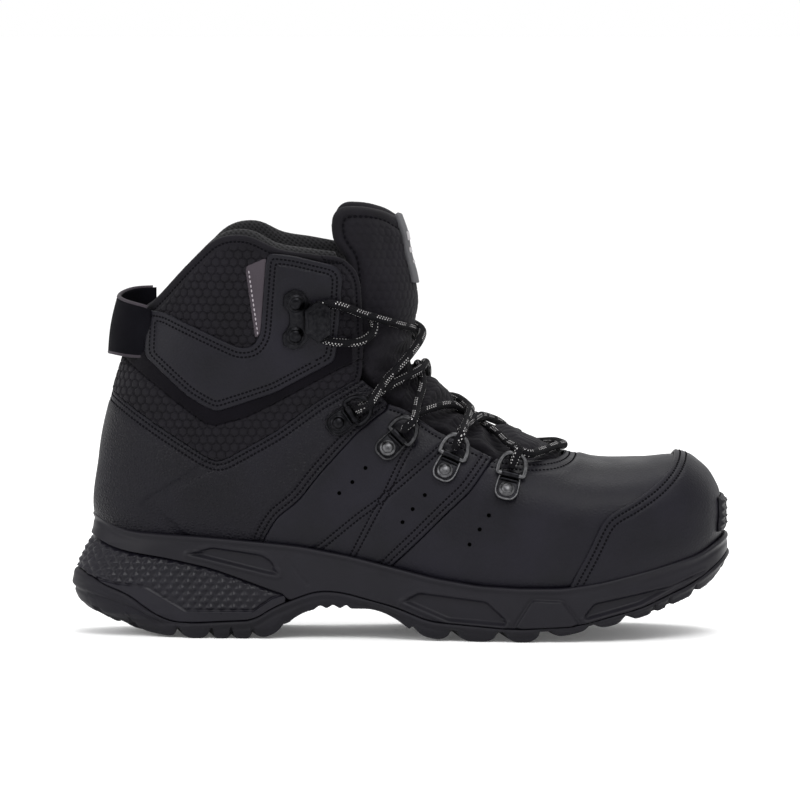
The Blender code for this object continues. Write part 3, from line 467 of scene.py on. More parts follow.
# ---------------------------------------------------------------- materials
def shader(name, colour, rough, metal=0.0):
    """A plain material, its node tree and its shader."""
    mat = bpy.data.materials.new(name)
    mat.use_nodes = True
    tree = mat.node_tree
    base = tree.nodes["Principled BSDF"]
    base.inputs["Base Color"].default_value = (*colour, 1)
    base.inputs["Roughness"].default_value = rough
    base.inputs["Metallic"].default_value = metal
    mat.diffuse_color = (*colour, 1)
    return mat, tree, base


def node(tree, kind, **values):
    """A node with its inputs or settings given by name."""
    item = tree.nodes.new(kind)
    for key, value in values.items():
        if key in item.inputs:
            item.inputs[key].default_value = value
        else:
            setattr(item, key, value)
    return item


def place_coords(tree):
    """Object coordinates, which are metres in the boot's frame."""
    return node(tree, "ShaderNodeTexCoord").outputs["Object"]


def range_of(tree, source, from_min, from_max, to_min, to_max):
    """The source stretched from one range to another, and kept inside it."""
    ramp = node(tree, "ShaderNodeMapRange")
    for key, value in (("From Min", from_min), ("From Max", from_max), ("To Min", to_min),
                       ("To Max", to_max)):
        ramp.inputs[key].default_value = value
    tree.links.new(source, ramp.inputs["Value"])
    return ramp.outputs["Result"]


def mix_colour(tree, base, one, two, factor):
    """Base colour going from one to two with a factor."""
    mix = tree.nodes.new("ShaderNodeMix")
    mix.data_type = "RGBA"
    mix.inputs["A"].default_value = (*one, 1)
    mix.inputs["B"].default_value = (*two, 1)
    tree.links.new(factor, mix.inputs["Factor"])
    tree.links.new(mix.outputs["Result"], base.inputs["Base Color"])


def add_bump(tree, base, heights):
    """Adds bump layers: (height socket, distance in metres, strength)."""
    last = None
    for height, distance, strength in heights:
        item = node(tree, "ShaderNodeBump", Distance=distance, Strength=strength)
        tree.links.new(height, item.inputs["Height"])
        if last is not None:
            tree.links.new(last, item.inputs["Normal"])
        last = item.outputs["Normal"]
    tree.links.new(last, base.inputs["Normal"])


def noise(tree, coords, scale, detail=3.0, rough=0.55):
    """Cloudy pattern over the coordinates."""
    item = node(tree, "ShaderNodeTexNoise", Scale=scale, Detail=detail, Roughness=rough)
    tree.links.new(coords, item.inputs["Vector"])
    return item.outputs["Fac"]


def cells(tree, coords, scale, feature, random=1.0):
    """Cell pattern: distance to a cell's middle or to its edge."""
    item = node(tree, "ShaderNodeTexVoronoi", feature=feature, Scale=scale, Randomness=random)
    tree.links.new(coords, item.inputs["Vector"])
    return item.outputs["Distance"]


def worn(name, dark, light, rough, patches, shades, shift, metal=0.0):
    """A shader whose colour and roughness wander over patches of (scale, detail)."""
    mat, tree, base = shader(name, light, rough, metal)
    at = place_coords(tree)
    patchy = noise(tree, at, *patches)
    mix_colour(tree, base, dark, light, range_of(tree, patchy, *shades, 0, 1))
    tree.links.new(range_of(tree, patchy, 0.3, 0.7, rough - shift[0], rough + shift[1]),
                   base.inputs["Roughness"])
    return mat, tree, base, at


SCUFF = 0.12


def leather_material(name, dark, light, rough, grain, grain_depth):
    """Grained leather: uneven dye, pores, fine creases and duller scuffs."""
    mat, tree, base, at = worn(name, dark, light, rough, (28, 4.0), (0.3, 0.7), (SCUFF, SCUFF))
    fine = noise(tree, at, 900, 2.0)
    pebble = cells(tree, at, grain, "DISTANCE_TO_EDGE")
    crease = noise(tree, at, 260, 6.0, 0.65)
    add_bump(tree, base, ((pebble, grain_depth, 0.8), (crease, 0.00025, 0.5),
                          (fine, 0.00008, 0.4)))
    base.inputs["Specular IOR Level"].default_value = 0.13
    return mat


def woven_material(name, dark, light, rough, scale, depth):
    """Plain weave: crossing waves over uneven yarn."""
    mat, tree, base = shader(name, light, rough)
    at = place_coords(tree)
    waves = []
    for axis in ("X", "Z"):
        wave = node(tree, "ShaderNodeTexWave", bands_direction=axis, Scale=scale, Distortion=0.6,
                    Detail=1.0)
        tree.links.new(at, wave.inputs["Vector"])
        waves.append(wave.outputs["Fac"])
    both = node(tree, "ShaderNodeMath", operation="MULTIPLY")
    tree.links.new(waves[0], both.inputs[0])
    tree.links.new(waves[1], both.inputs[1])
    patchy = noise(tree, at, 60, 3.0)
    mix_colour(tree, base, dark, light, range_of(tree, patchy, 0.2, 0.8, 0, 1))
    add_bump(tree, base, ((both.outputs["Value"], depth, 0.8),
                          (noise(tree, at, 1500), 0.00008, 0.5)))
    base.inputs["Sheen Weight"].default_value = 0.03
    base.inputs["Sheen Roughness"].default_value = 0.5
    base.inputs["Specular IOR Level"].default_value = 0.15
    return mat


def knit_material(name, dark, light, pitch):
    """Spacer mesh: rows of small holes in a soft knit, set out on the lining's own surface; the
    holes are coloured darker as painted shade inside them.
    """
    mat, tree, base = shader(name, light, 0.85)
    uv = node(tree, "ShaderNodeUVMap", uv_map="skin").outputs["UV"]
    turn = node(tree, "ShaderNodeMapping")
    turn.inputs["Rotation"].default_value = (0, 0, math.radians(45))
    turn.inputs["Scale"].default_value = (100 / pitch, 100 / pitch, 1)
    tree.links.new(uv, turn.inputs["Vector"])
    near = cells(tree, turn.outputs["Vector"], 1.0, "F1", 0.12)
    # Darker colour in the holes: painted shade.
    mix_colour(tree, base, dark, light, range_of(tree, near, 0.18, 0.42, 0, 1))
    add_bump(tree, base, ((near, 0.0006, 0.9),
                          (noise(tree, place_coords(tree), 1500), 0.00008, 0.5)))
    base.inputs["Sheen Weight"].default_value = 0.05
    base.inputs["Specular IOR Level"].default_value = 0.15
    return mat


def rubber_material(name, dark, light, rough):
    """Moulded rubber: fine texture, dull patches and light rubbed dust."""
    mat, tree, base, at = worn(name, dark, light, rough, (35, 5.0), (0.3, 0.75), (0.08, 0.1))
    add_bump(tree, base, ((noise(tree, at, 1400, 2.0), 0.00006, 0.5),
                          (noise(tree, at, 240, 3.0), 0.0001, 0.25)))
    base.inputs["Specular IOR Level"].default_value = 0.17
    return mat


def metal_material(name, dark, light, rough):
    """Dark plated metal with brushed streaks and brighter rubbed spots."""
    mat, tree, base, at = worn(name, dark, light, rough, (700, 4.0), (0.35, 0.7), (0.04, 0.06),
                               1.0)
    add_bump(tree, base, ((noise(tree, at, 2200, 2.0), 0.00003, 0.35),))
    return mat


def lace_material():
    """Round braid: crossing strands in black, with light flecks in pairs."""
    mat, tree, base = shader("lace_braid", (0.02, 0.02, 0.023), 0.8)
    uv = node(tree, "ShaderNodeUVMap", uv_map="braid").outputs["UV"]
    split = node(tree, "ShaderNodeSeparateXYZ")
    tree.links.new(uv, split.inputs["Vector"])

    def math_node(operation, one, two=None):
        item = node(tree, "ShaderNodeMath", operation=operation)
        for k, value in enumerate((one, two)):
            if value is None:
                continue
            if isinstance(value, (int, float)):
                item.inputs[k].default_value = value
            else:
                tree.links.new(value, item.inputs[k])
        return item.outputs["Value"]

    around, run = split.outputs["X"], split.outputs["Y"]

    def wave(turns, rate):
        """Sine over the braid, so many waves round the lace and along it."""
        spot = math_node("ADD", math_node("MULTIPLY", around, turns),
                         math_node("MULTIPLY", run, rate))
        return math_node("SINE", math_node("MULTIPLY", spot, 2 * math.pi))

    braid = math_node("MULTIPLY", wave(6.0, 3.0), wave(6.0, -3.0))
    dots = math_node("GREATER_THAN", math_node("MULTIPLY", wave(6.0, 0.0), wave(0.0, 2.7)), 0.5)
    rows = math_node("LESS_THAN", math_node("FRACT", math_node("MULTIPLY", around, 3.0)), 0.5)
    fleck = math_node("MULTIPLY", math_node("MULTIPLY", rows, dots),
                      math_node("GREATER_THAN", wave(1.0, 0.33), -0.45))
    mix_colour(tree, base, (0.0025, 0.0024, 0.0034), (0.44, 0.43, 0.43), fleck)
    add_bump(tree, base, ((braid, 0.00035, 0.8),))
    base.inputs["Specular IOR Level"].default_value = 0.1
    return mat


# Every material: its maker, its name, its darkest and lightest colour, and the maker's own values.
MATS = {key: maker(name, dark, light, *rest) for key, maker, name, dark, light, *rest in (
    ("leather", leather_material, "leather_smooth",
     (0.0029, 0.0027, 0.0044), (0.0066, 0.006, 0.0098), 0.46, 620, 0.00022),
    ("embossed", leather_material, "leather_embossed",
     (0.0021, 0.0018, 0.0033), (0.0051, 0.0046, 0.0076), 0.48, 640, 0.0008),
    ("textile", woven_material, "textile_honeycomb",
     (0.0014, 0.0010, 0.0022), (0.0045, 0.0036, 0.0064), 0.78, 900, 0.00012),
    # Plain cloth of the band under the ankle overlay, darkened with painted shade.
    ("textile_plain", woven_material, "textile_plain",
     (0.0010, 0.0007, 0.0016), (0.0027, 0.0021, 0.0039), 0.85, 900, 0.00012),
    ("mesh", knit_material, "mesh_lining",
     (0.0008, 0.0008, 0.0009), (0.0105, 0.0103, 0.0115), 1.7),
    ("accent", leather_material, "accent_leather",
     (0.03, 0.0245, 0.03), (0.045, 0.037, 0.0445), 0.62, 700, 0.00008),
    ("midsole", rubber_material, "midsole_foam",
     (0.0034, 0.003, 0.005), (0.0064, 0.0058, 0.009), 0.48),
    ("rubber", rubber_material, "sole_rubber",
     (0.003, 0.0027, 0.0044), (0.0062, 0.0056, 0.0088), 0.54),
    ("cushion", rubber_material, "heel_cushion_rubber",
     (0.004, 0.0036, 0.006), (0.0085, 0.0078, 0.0118), 0.33),
    ("gunmetal", metal_material, "gunmetal", (0.05, 0.05, 0.053), (0.11, 0.11, 0.114), 0.36),
    # Darker copy of gunmetal for the second lace fitting: painted shade.
    ("gunmetal_dark", metal_material, "gunmetal_dark",
     (0.018, 0.018, 0.02), (0.05, 0.05, 0.052), 0.34),
    ("black_metal", metal_material, "black_metal",
     (0.006, 0.006, 0.007), (0.015, 0.015, 0.0165), 0.33),
    ("stitch", rubber_material, "stitch_thread",
     (0.0012, 0.0011, 0.0018), (0.003, 0.0028, 0.0042), 0.9),
    ("stitch_grey", rubber_material, "stitch_thread_grey",
     (0.2, 0.18, 0.2), (0.32, 0.29, 0.31), 0.7),
    ("webbing", woven_material, "loop_webbing",
     (0.0016, 0.0015, 0.0024), (0.0042, 0.004, 0.0058), 0.85, 700, 0.00025),
    ("piping", woven_material, "loop_edge",
     (0.018, 0.0145, 0.0185), (0.036, 0.030, 0.037), 0.75, 900, 0.0001),
    ("label", woven_material, "label_cloth",
     (0.05, 0.05, 0.054), (0.085, 0.084, 0.09), 0.75, 1200, 0.0001),
    ("print", woven_material, "label_print",
     (0.28, 0.27, 0.28), (0.42, 0.41, 0.42), 0.7, 1200, 0.0001),
    # near-black cups for the punched holes: painted shade inside the holes, with no shine
    ("dark", rubber_material, "hole_dark",
     (0.0003, 0.0003, 0.0003), (0.0006, 0.0006, 0.0006), 1.0),
    ("steel", metal_material, "plain_steel", (0.16, 0.16, 0.165), (0.3, 0.3, 0.305), 0.4),
    ("board", woven_material, "fibre_board",
     (0.006, 0.006, 0.006), (0.012, 0.012, 0.012), 0.9, 300, 0.0001),
    ("foam", rubber_material, "inner_foam",
     (0.006, 0.006, 0.006), (0.011, 0.011, 0.011), 0.95),
    ("footbed", woven_material, "footbed_cloth",
     (0.005, 0.005, 0.006), (0.011, 0.011, 0.0125), 0.85, 500, 0.0002))}
MATS["lace"] = lace_material()


def dress(item, mat, body, slot, *nodes):
    """Gives a piece its material and its body, and hides the CAD nodes it stands for; slot is not
    used.
    """
    item.data.materials.clear()
    item.data.materials.append(MATS[mat])
    if body:
        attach(item, body)
    if nodes:
        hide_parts(*nodes)
    return item


# ---------------------------------------------------------------- camera and light
def set_camera():
    """Camera at the photograph's viewing angle, level with the boot's middle."""
    data = bpy.data.cameras.new("camera")
    cam = bpy.data.objects.new("camera", data)
    bpy.context.scene.collection.objects.link(cam)
    data.sensor_width = SENSOR
    distance = CAMERA_DISTANCE
    azimuth, elevation = math.radians(AZIMUTH), math.radians(ELEVATION)
    target = Vector(TARGET)
    level = math.cos(elevation)
    away = Vector((math.sin(azimuth) * level, -math.cos(azimuth) * level, math.sin(elevation)))
    cam.location = target + away * distance
    cam.rotation_euler = (-away).to_track_quat("-Z", "Y").to_euler()
    data.lens = SENSOR * distance / VIEW_WIDTH
    data.clip_end = 20
    bpy.context.scene.camera = cam


def area_light(name, place, size, power, aim=(0, 0, 0.08), colour=(1, 1, 1)):
    """Soft rectangular lamp aimed at the boot."""
    data = bpy.data.lights.new(name, "AREA")
    data.shape = "RECTANGLE"
    data.size, data.size_y = size
    data.energy = power
    data.color = colour
    lamp = bpy.data.objects.new(name, data)
    lamp.location = place
    lamp.rotation_euler = (Vector(aim) - Vector(place)).to_track_quat("-Z", "Y").to_euler()
    bpy.context.scene.collection.objects.link(lamp)


def set_light():
    """White surroundings and three soft lamps."""
    world = bpy.data.worlds.new("studio")
    world.use_nodes = True
    world.node_tree.nodes["Background"].inputs["Color"].default_value = (1, 1, 1, 1)
    world.node_tree.nodes["Background"].inputs["Strength"].default_value = 1.0
    bpy.context.scene.world = world
    area_light("key", (0.35, -1.2, 1.5), (1.1, 0.9), 20)
    area_light("fill", (-1.4, -0.9, 0.7), (0.9, 0.9), 9)
    area_light("top", (0.1, 0.4, 1.7), (1.3, 0.8), 14)
    bpy.context.scene.view_settings.view_transform = "Standard"


def set_floor():
    """Pale floor that runs on past the picture on every side."""
    mesh = bpy.data.meshes.new("floor")
    mesh.from_pydata([(-FLOOR, -FLOOR, 0), (FLOOR, -FLOOR, 0), (FLOOR, FLOOR, 0),
                      (-FLOOR, FLOOR, 0)], [], [(0, 1, 2, 3)])
    floor = bpy.data.objects.new("floor", mesh)
    bpy.context.scene.collection.objects.link(floor)
    mat, _, base = shader("floor_pale", (0.95, 0.95, 0.95), 0.9)
    base.inputs["Emission Color"].default_value = (1, 1, 1, 1)
    base.inputs["Emission Strength"].default_value = 0.08
    mesh.materials.append(mat)


AZIMUTH = 1.0
ELEVATION = 4.0
TARGET = (-0.0004, 0.0, 0.1095)
VIEW_WIDTH = 0.376
CAMERA_DISTANCE = 3.2
SENSOR = 36.0               # in mm, as Blender counts it
FLOOR = 32                  # half the floor's side, in metres
set_camera()
set_light()
set_floor()


# ---------------------------------------------------------------- surface frames
SKIN = Skin(ROWS, COLS)
SHAFT_PART = (0.44, 1.0)    # the share of the last that the ankle cloth needs in a finer skin
TREE_ROWS, TREE_COLS = 150, 120
TREE = BVHTree.FromPolygons(
    [Vector(p) for p in last_grid(TREE_ROWS, TREE_COLS)[0].reshape(-1, 3)],
    [(i * TREE_COLS + j, i * TREE_COLS + (j + 1) % TREE_COLS,
      (i + 1) * TREE_COLS + (j + 1) % TREE_COLS, (i + 1) * TREE_COLS + j)
     for i in range(TREE_ROWS - 1) for j in range(TREE_COLS)])


def from_side(x, z, side):
    """Point and outward normal of the last at a place in the side view."""
    hit, normal, _, _ = TREE.ray_cast(Vector((x, 120.0 * side, z)), Vector((0, -side, 0)))
    if hit is None:
        return None, None
    if normal.y * side < 0:
        normal = -normal
    return hit, normal


def above(point, height):
    """The place at a height over the last nearest to a point."""
    hit, normal, _, _ = TREE.find_nearest(Vector(point))
    inner = Vector((hit.x - 25, 0, hit.z - 45))
    if normal.dot(hit - inner) < 0:
        normal = -normal
    return hit + normal * height


def fitting_frame(x, z, degrees, side):
    """Frame of a fitting: X along its aim, Z out of the leather."""
    origin, out = from_side(x, z, side)
    angle = math.radians(degrees)
    aim = Vector((math.cos(angle), 0.0, math.sin(angle)))
    aim = (aim - out * aim.dot(out)).normalized()
    across = out.cross(aim).normalized()
    made = Matrix((aim, across, out)).transposed().to_4x4()
    made.translation = origin
    return made


# ---------------------------------------------------------------- lace
def ring_turn(made, lean):
    """Path of the lace round the bar of one lace ring."""
    tilt = math.radians(RING_TILT)
    way = Vector((math.cos(tilt), 0, math.sin(tilt)))
    lift = Vector((-math.sin(tilt), 0, math.cos(tilt)))
    bar = Vector((0, 0, 2.5)) + way * RING_REACH
    spots = []
    for degrees in (62, 100, 140, 180, 220, 260, 298):
        a = math.radians(degrees)
        spot = bar + way * (LACE_TURN * math.cos(a)) + lift * (LACE_TURN * math.sin(a))
        spots.append(made @ (spot + Vector((0, lean * (degrees - 180) / 118 * 1.2, 0))))
    return spots


def hook_turn(made):
    """Path of the lace behind one hook."""
    spots = [(9.0, 7.4, 5.6), (3.4, 7.2, 5.7), (-1.6, 5.8, 5.8), (-3.7, 2.2, 5.8),
             (-3.7, -2.2, 5.8), (-2.0, -6.0, 5.8), (2.6, -8.8, 5.7), (8.0, -10.4, 5.4)]
    return [made @ Vector(s) for s in spots][::-1]


def span(start, end, middle, height, leave, arrive):
    """Path of the lace across the tongue, by a middle point at a height."""
    out = []
    for share in (0.3, 0.62):
        out.append(above(start.lerp(middle, share), leave * (1 - share) ** 1.8 + height * share))
    out.append(above(middle, height))
    for share in (0.38, 0.7):
        out.append(above(middle.lerp(end, share), height * (1 - share) + arrive * share ** 1.8))
    return out


def lace_half(side, height):
    """One half of the lace, from its tucked end down to the lowest ring."""
    route = []
    hook = fitting_frame(HOOK[0], HOOK[1], 0.0, side)
    if side > 0:
        hook = hook @ Matrix.Diagonal((1, -1, 1, 1))
    for x, z, up in ((-11.8, 149.0, -3.4), (-12.0, 146.0, 0.2), (-14.6, 142.6, 3.0),
                     (-21.0, 139.6, 4.8)):
        spot, out = from_side(x, z, side)
        route.append(spot + out * up)
    route += hook_turn(hook)
    where = side
    for number, ring in enumerate(RINGS):
        where = -where
        turn = ring_turn(fitting_frame(*ring, where), 1.0 if where < 0 else -1.0)
        middle = Vector((CROSSINGS[number][0], 0.0, CROSSINGS[number][1]))
        route += span(route[-1], turn[0], middle, height, 5.2 if number == 0 else 4.4, 9.0)
        route += turn
    return route


def lace_route():
    """The whole lace: one half, the bar across the front and the other half."""
    first = lace_half(-1, -4.6)
    second = lace_half(1, -0.9)
    front = []
    for share in (-0.66, -0.33, 0.0, 0.33, 0.66):
        x = FRONT_BAR[0] - 12.0 * abs(share) ** 1.6
        front.append(above((x, -26.0 * share, FRONT_BAR[1] - 4 * abs(share)), 2.4))
    front = [above((60.0, 37.0, 85.5), 5.4), *front, above((60.0, -37.0, 85.5), 5.4)]
    if first[-1].y < 0:
        front = front[::-1]
    return first + front + second[::-1]


def tube(name, path, radius, sides, uv_scale=None, closed=False):
    """Round bar along a path, with even frames and closed ends."""
    pts = np.array([tuple(p) for p in path], float)
    count = len(pts)
    if closed:
        run = np.roll(pts, -1, axis=0) - np.roll(pts, 1, axis=0)
    else:
        run = np.gradient(pts, axis=0)
    run /= np.linalg.norm(run, axis=1, keepdims=True)
    side = np.cross(run[0], (0.3, 0.5, 0.8))
    side /= np.linalg.norm(side)
    frames = []
    for i in range(count):
        side = side - run[i] * (side @ run[i])
        side /= np.linalg.norm(side)
        frames.append(side.copy())
    frames = np.array(frames)
    if closed:
        other = np.cross(run, frames)
        last = frames[-1] - run[0] * (frames[-1] @ run[0])
        twist = math.atan2(float(last @ other[0]), float(last @ frames[0]))
        angle = -twist * np.arange(count) / count
        frames = frames * np.cos(angle)[:, None] + np.cross(run, frames) * np.sin(angle)[:, None]
    other = np.cross(run, frames)
    rad = np.broadcast_to(np.asarray(radius, float), (count,))
    turn = np.arange(sides) * 2 * np.pi / sides
    rings = (pts[:, None] + rad[:, None, None] * (frames[:, None] * np.cos(turn)[None, :, None]
             + other[:, None] * np.sin(turn)[None, :, None]))
    faces = []
    uvs = []
    length = run_along(pts)
    total = count if closed else count - 1
    for i in range(total):
        j = (i + 1) % count
        for k in range(sides):
            m = (k + 1) % sides
            faces.append((i * sides + k, i * sides + m, j * sides + m, j * sides + k))
            if uv_scale:
                u0, u1 = k / sides, (k + 1) / sides
                v0 = length[i] * uv_scale
                v1 = v0 + (length[j] - length[i]) * uv_scale
                uvs += [(u0, v0), (u1, v0), (u1, v1), (u0, v1)]
    if not closed:
        faces.append(tuple(range(sides))[::-1])
        faces.append(tuple(range((count - 1) * sides, count * sides)))
        if uv_scale:
            uvs += [(0, 0)] * (2 * sides)
    item = new_mesh(name, rings.reshape(-1, 3), faces)
    if uv_scale:
        layer = item.data.uv_layers.new(name="braid")
        layer.data.foreach_set("uv", np.array(uvs, float).ravel())
    return item


def even_path(points, step):
    """The line with its points set out evenly, about one step apart."""
    pts = np.array([tuple(p) for p in points], float)
    run = run_along(pts)
    count = max(2, int(round(run[-1] / step)) + 1)
    return sampled(np.linspace(0, run[-1], count), run, pts)


def relaxed(path, times):
    """The path with every inner point drawn towards its neighbours."""
    for _ in range(times):
        path[1:-1] = path[1:-1] * 0.5 + (path[:-2] + path[2:]) * 0.25
    return path


LACE_PATH = relaxed(even_path(catmull(lace_route(), 12), 0.9), 3)
lace = tube("lace", LACE_PATH, LACE_D / 2, 14, 0.25)
dress(lace, "lace", "boot", "lace_braid", "lace")


# ---------------------------------------------------------------- upper
X, Z = SKIN.p[:, 0], SKIN.p[:, 2]
Y = SKIN.p[:, 1]
SIDES = {-1: "lateral", 1: "medial"}


def margin(drop):
    """A line below the rim, where the upper goes down into the sole."""
    xs = np.linspace(-160, 165, 60)
    return [(float(x), float(along(RIM_TOP, x)) - drop) for x in xs]


SEAM = (2.2, 4.8)           # two rows of stitches, measured in from a panel's edge
LEATHER_INNER = -1.7        # inner face of the leather, against the last's own surface
ON_LEATHER = 0.05           # underside of a piece sewn on top of the leather
PROUD = 0.05                # how far stitches stand above the leather


def one_side(field, side):
    """Keeps one half of the skin, with a hair's gap at the middle plane."""
    return field if side == 0 else np.maximum(field, -side * Y + 0.15)


def hexes(a, b, size):
    """0 in the grooves and 1 on the pads of a honeycomb with cells size wide."""
    r = np.array([size, size * math.sqrt(3)])
    h = r / 2
    picks = []
    for shift in ((0, 0), (h[0], h[1])):
        u = np.mod(a + shift[0], r[0]) - h[0]
        v = np.mod(b + shift[1], r[1]) - h[1]
        picks.append((u, v))
    first = np.hypot(*picks[0]) < np.hypot(*picks[1])
    u = np.where(first, picks[0][0], picks[1][0])
    v = np.where(first, picks[0][1], picks[1][1])
    d = np.maximum(np.abs(u), np.abs(u) * 0.5 + np.abs(v) * math.sqrt(3) / 2)
    return size / 2 - d


def stitch_rows(name, rows, mat, slot, body="boot", length=1.35, pitch=1.9, width=0.5,
                tall=0.26):
    """One mesh of raised stitches along many lines: rows of (points, normals)."""
    parts, faces = [], []
    ring = [(-0.5, 0.35), (-0.3, 0.9), (0.0, 1.0), (0.3, 0.9), (0.5, 0.35)]
    sides = 6
    total = 0
    for pts, nrm in rows:
        run = run_along(pts)
        if run[-1] < pitch:
            continue
        spots = np.arange(pitch / 2, run[-1] - pitch / 4, pitch)
        at = sampled(spots, run, pts)
        up = sampled(spots, run, nrm)
        up /= np.linalg.norm(up, axis=1, keepdims=True)
        way = sampled(spots + 0.6, run, pts) - sampled(spots - 0.6, run, pts)
        way /= np.maximum(np.linalg.norm(way, axis=1, keepdims=True), 1e-9)
        side = np.cross(up, way)
        for share, fat in ring:
            for k in range(sides):
                a = 2 * math.pi * k / sides
                parts.append(at + way * (share * length) + side * (math.cos(a) * width * fat)
                             + up * (math.sin(a) * tall * fat))
        count = len(spots)
        base = total
        block = len(ring) * sides
        total += count * block
        for s in range(count):
            def vid(i, k):
                return base + (i * sides + k % sides) * count + s
            for i in range(len(ring) - 1):
                for k in range(sides):
                    faces.append((vid(i, k), vid(i, k + 1), vid(i + 1, k + 1), vid(i + 1, k)))
            faces.append(tuple(vid(0, k) for k in range(sides))[::-1])
            faces.append(tuple(vid(len(ring) - 1, k) for k in range(sides)))
    if not parts:
        return None
    item = new_mesh(name, np.concatenate(parts), faces)
    return dress(item, mat, body, slot)


def contour(piece, values, level, heights, allowed=None):
    """Lines on a cut where values equals level, as (points, normals) lists."""
    tri = piece.t
    f = values - level
    s = f[tri] > 0
    mixed = ~(s.all(axis=1) | (~s).all(axis=1))
    if allowed is not None:
        mixed &= allowed[tri].all(axis=1)
    tri = tri[mixed]
    links = {}
    points = {}
    surface = piece.p + piece.n * heights[:, None]
    for t in tri:
        cross = []
        for a, b in ((t[0], t[1]), (t[1], t[2]), (t[2], t[0])):
            if (f[a] > 0) != (f[b] > 0):
                key = (min(a, b), max(a, b))
                if key not in points:
                    w = f[key[0]] / (f[key[0]] - f[key[1]])
                    points[key] = (surface[key[0]] * (1 - w) + surface[key[1]] * w,
                                   piece.n[key[0]] * (1 - w) + piece.n[key[1]] * w)
                cross.append(key)
        if len(cross) == 2:
            links.setdefault(cross[0], []).append(cross[1])
            links.setdefault(cross[1], []).append(cross[0])
    rows = []
    left = set(links)
    ends = sorted((k for k in links if len(links[k]) == 1), key=lambda k: (k[0], k[1]))
    order = ends + sorted(links, key=lambda k: (k[0], k[1]))
    for start in order:
        if start not in left:
            continue
        chain = [start]
        left.discard(start)
        here = start
        while True:
            following = [k for k in links[here] if k in left]
            if not following:
                break
            here = following[0]
            left.discard(here)
            chain.append(here)
        if len(chain) > 6:
            pts = np.array([points[k][0] for k in chain])
            nrm = np.array([points[k][1] for k in chain])
            even = even_path(pts, 0.8)
            run = run_along(pts)
            normals = sampled(np.linspace(0, run[-1], len(even)), run, nrm)
            rows.append((relaxed(even, 2), normals))
    return rows


ROWS_BLACK = []


def seam_dip(d, offsets, depth=0.5, width=1.05):
    """How much the leather sinks under rows of stitches at offsets from an edge."""
    return sum(-depth * bump(d, o, width) for o in offsets)


def add_rows(piece, distance, offsets, heights, allowed=None, rows=None):
    """Adds rows of stitches at offsets from an edge to a list, the black ones if none is given."""
    for offset in offsets:
        (ROWS_BLACK if rows is None else rows).extend(
            contour(piece, distance, offset, heights, allowed))


def line_on(piece, line):
    """Distance of every point of a cut to a line in the side view."""
    return line_distance(piece.x, piece.z, line)


def make_vamp():
    """Smooth leather over the toes, up to the throat seam below the lowest lace."""
    low = [p for p in margin(6.0) if p[0] > -12][::-1]
    seam = rounded(SEAM_VAMP, 4, False)
    outline = [(-12, 25)] + [p for p in seam if p[0] > -10 and p[1] < 84.8]
    outline += [(45, 85.2), (62, 84.2), (73, 84.6), (79.5, 87), (90, 110), (165, 110)] + low
    piece = Piece(SKIN, area_field(X, Z, outline))
    throat = line_on(piece, rounded(((38, 87), (45, 85.2), (62, 84.2), (73, 84.6), (79.5, 87.0),
                                     (82, 95)), 5, False))
    height = rolled(piece.d, 0.0, 0.9)
    height += seam_dip(throat, (2.0, 4.4))
    height += 0.35 * bump(throat, 7.0, 2.5)
    height += 0.25 * np.sin(piece.x * 0.11 + 1) * np.sin(piece.z * 0.13)
    add_rows(piece, throat, (2.0, 4.4), height + PROUD)
    item = shell("vamp", piece, height, LEATHER_INNER)
    return dress(item, "leather", "boot", "leather_smooth", "vamp")


PUNCHES = ((-15.745, 80.37), (-21.855, 73.79), (-27.965, 68.62), (11.985, 68.15), (6.345, 61.57),
           (1.645, 55.46), (41.595, 59.22), (37.365, 52.64), (32.665, 45.59))
CROSS_A = ((-42.065, 39.48), (-37.365, 42.77), (-20.445, 56.87), (-8.225, 65.8), (13.865, 85.07),
           (19.035, 89.77))
CROSS_B = ((-23.265, 36.66), (-21.385, 39.95), (-12.455, 57.34), (-5.405, 70.03), (1.645, 85.07),
           (5.875, 92.12))


def make_side_panel(side):
    """Smooth leather side, with two crossing lines of stitches."""
    seam_front = list(rounded(SEAM_VAMP, 4, False))
    seam_back = list(rounded(SEAM_REAR, 4, False))
    low = [p for p in margin(6.0) if -64 < p[0] < -4][::-1]
    edge_top = rounded(((-5.3, 109.9), (2, 107.5), (18, 97), (43.5, 85.5)), 3, False)
    outline = [p for p in seam_back if p[1] < 105.8 and p[1] > 38] + [(-5.9, 107.5)]
    outline += list(edge_top)
    outline += [p for p in seam_front[::-1] if 33 < p[1] < 84.5] + low
    piece = Piece(SKIN, one_side(area_field(X, Z, outline), side))
    front = line_on(piece, seam_front)
    top = line_on(piece, edge_top)
    cross_a = line_on(piece, rounded(CROSS_A, 5, False))
    cross_b = line_on(piece, rounded(CROSS_B, 5, False))
    height = rolled(piece.d, 0.9, 0.9)
    height += seam_dip(front, SEAM) + seam_dip(top, (2.4,))
    height += seam_dip(cross_a, (1.2,)) + seam_dip(cross_b, (1.2,))
    height += 0.3 * np.exp(-cross_a / 1.0) + 0.3 * np.exp(-cross_b / 1.0)
    height += 0.3 * (1 - np.exp(-piece.d / 9.0)) - 0.25
    add_rows(piece, front, SEAM, height + PROUD)
    add_rows(piece, top, (2.4,), height + PROUD, front > 6)
    ok = piece.d > 1.5
    add_rows(piece, cross_a, (1.2,), height + PROUD, ok)
    add_rows(piece, cross_b, (1.2,), height + PROUD, ok)
    item = shell(f"side_panel_{SIDES[side]}", piece, height, LEATHER_INNER)
    return dress(item, "leather", "boot", "leather_smooth", f"side_panel_{SIDES[side]}",
                 f"interlining_{SIDES[side]}")


CHANNEL = rounded(((-87.185, 86.01), (-105.045, 73.79), (-117.265, 66.74), (-121.495, 62.51),
                   (-106.925, 49.82), (-97.525, 41.83), (-90.005, 40.42), (-99.405, 48.88),
                   (-109.275, 57.34), (-112.565, 61.57), (-112.095, 64.39), (-99.405, 71.91),
                   (-82.485, 81.78)), 1.2)


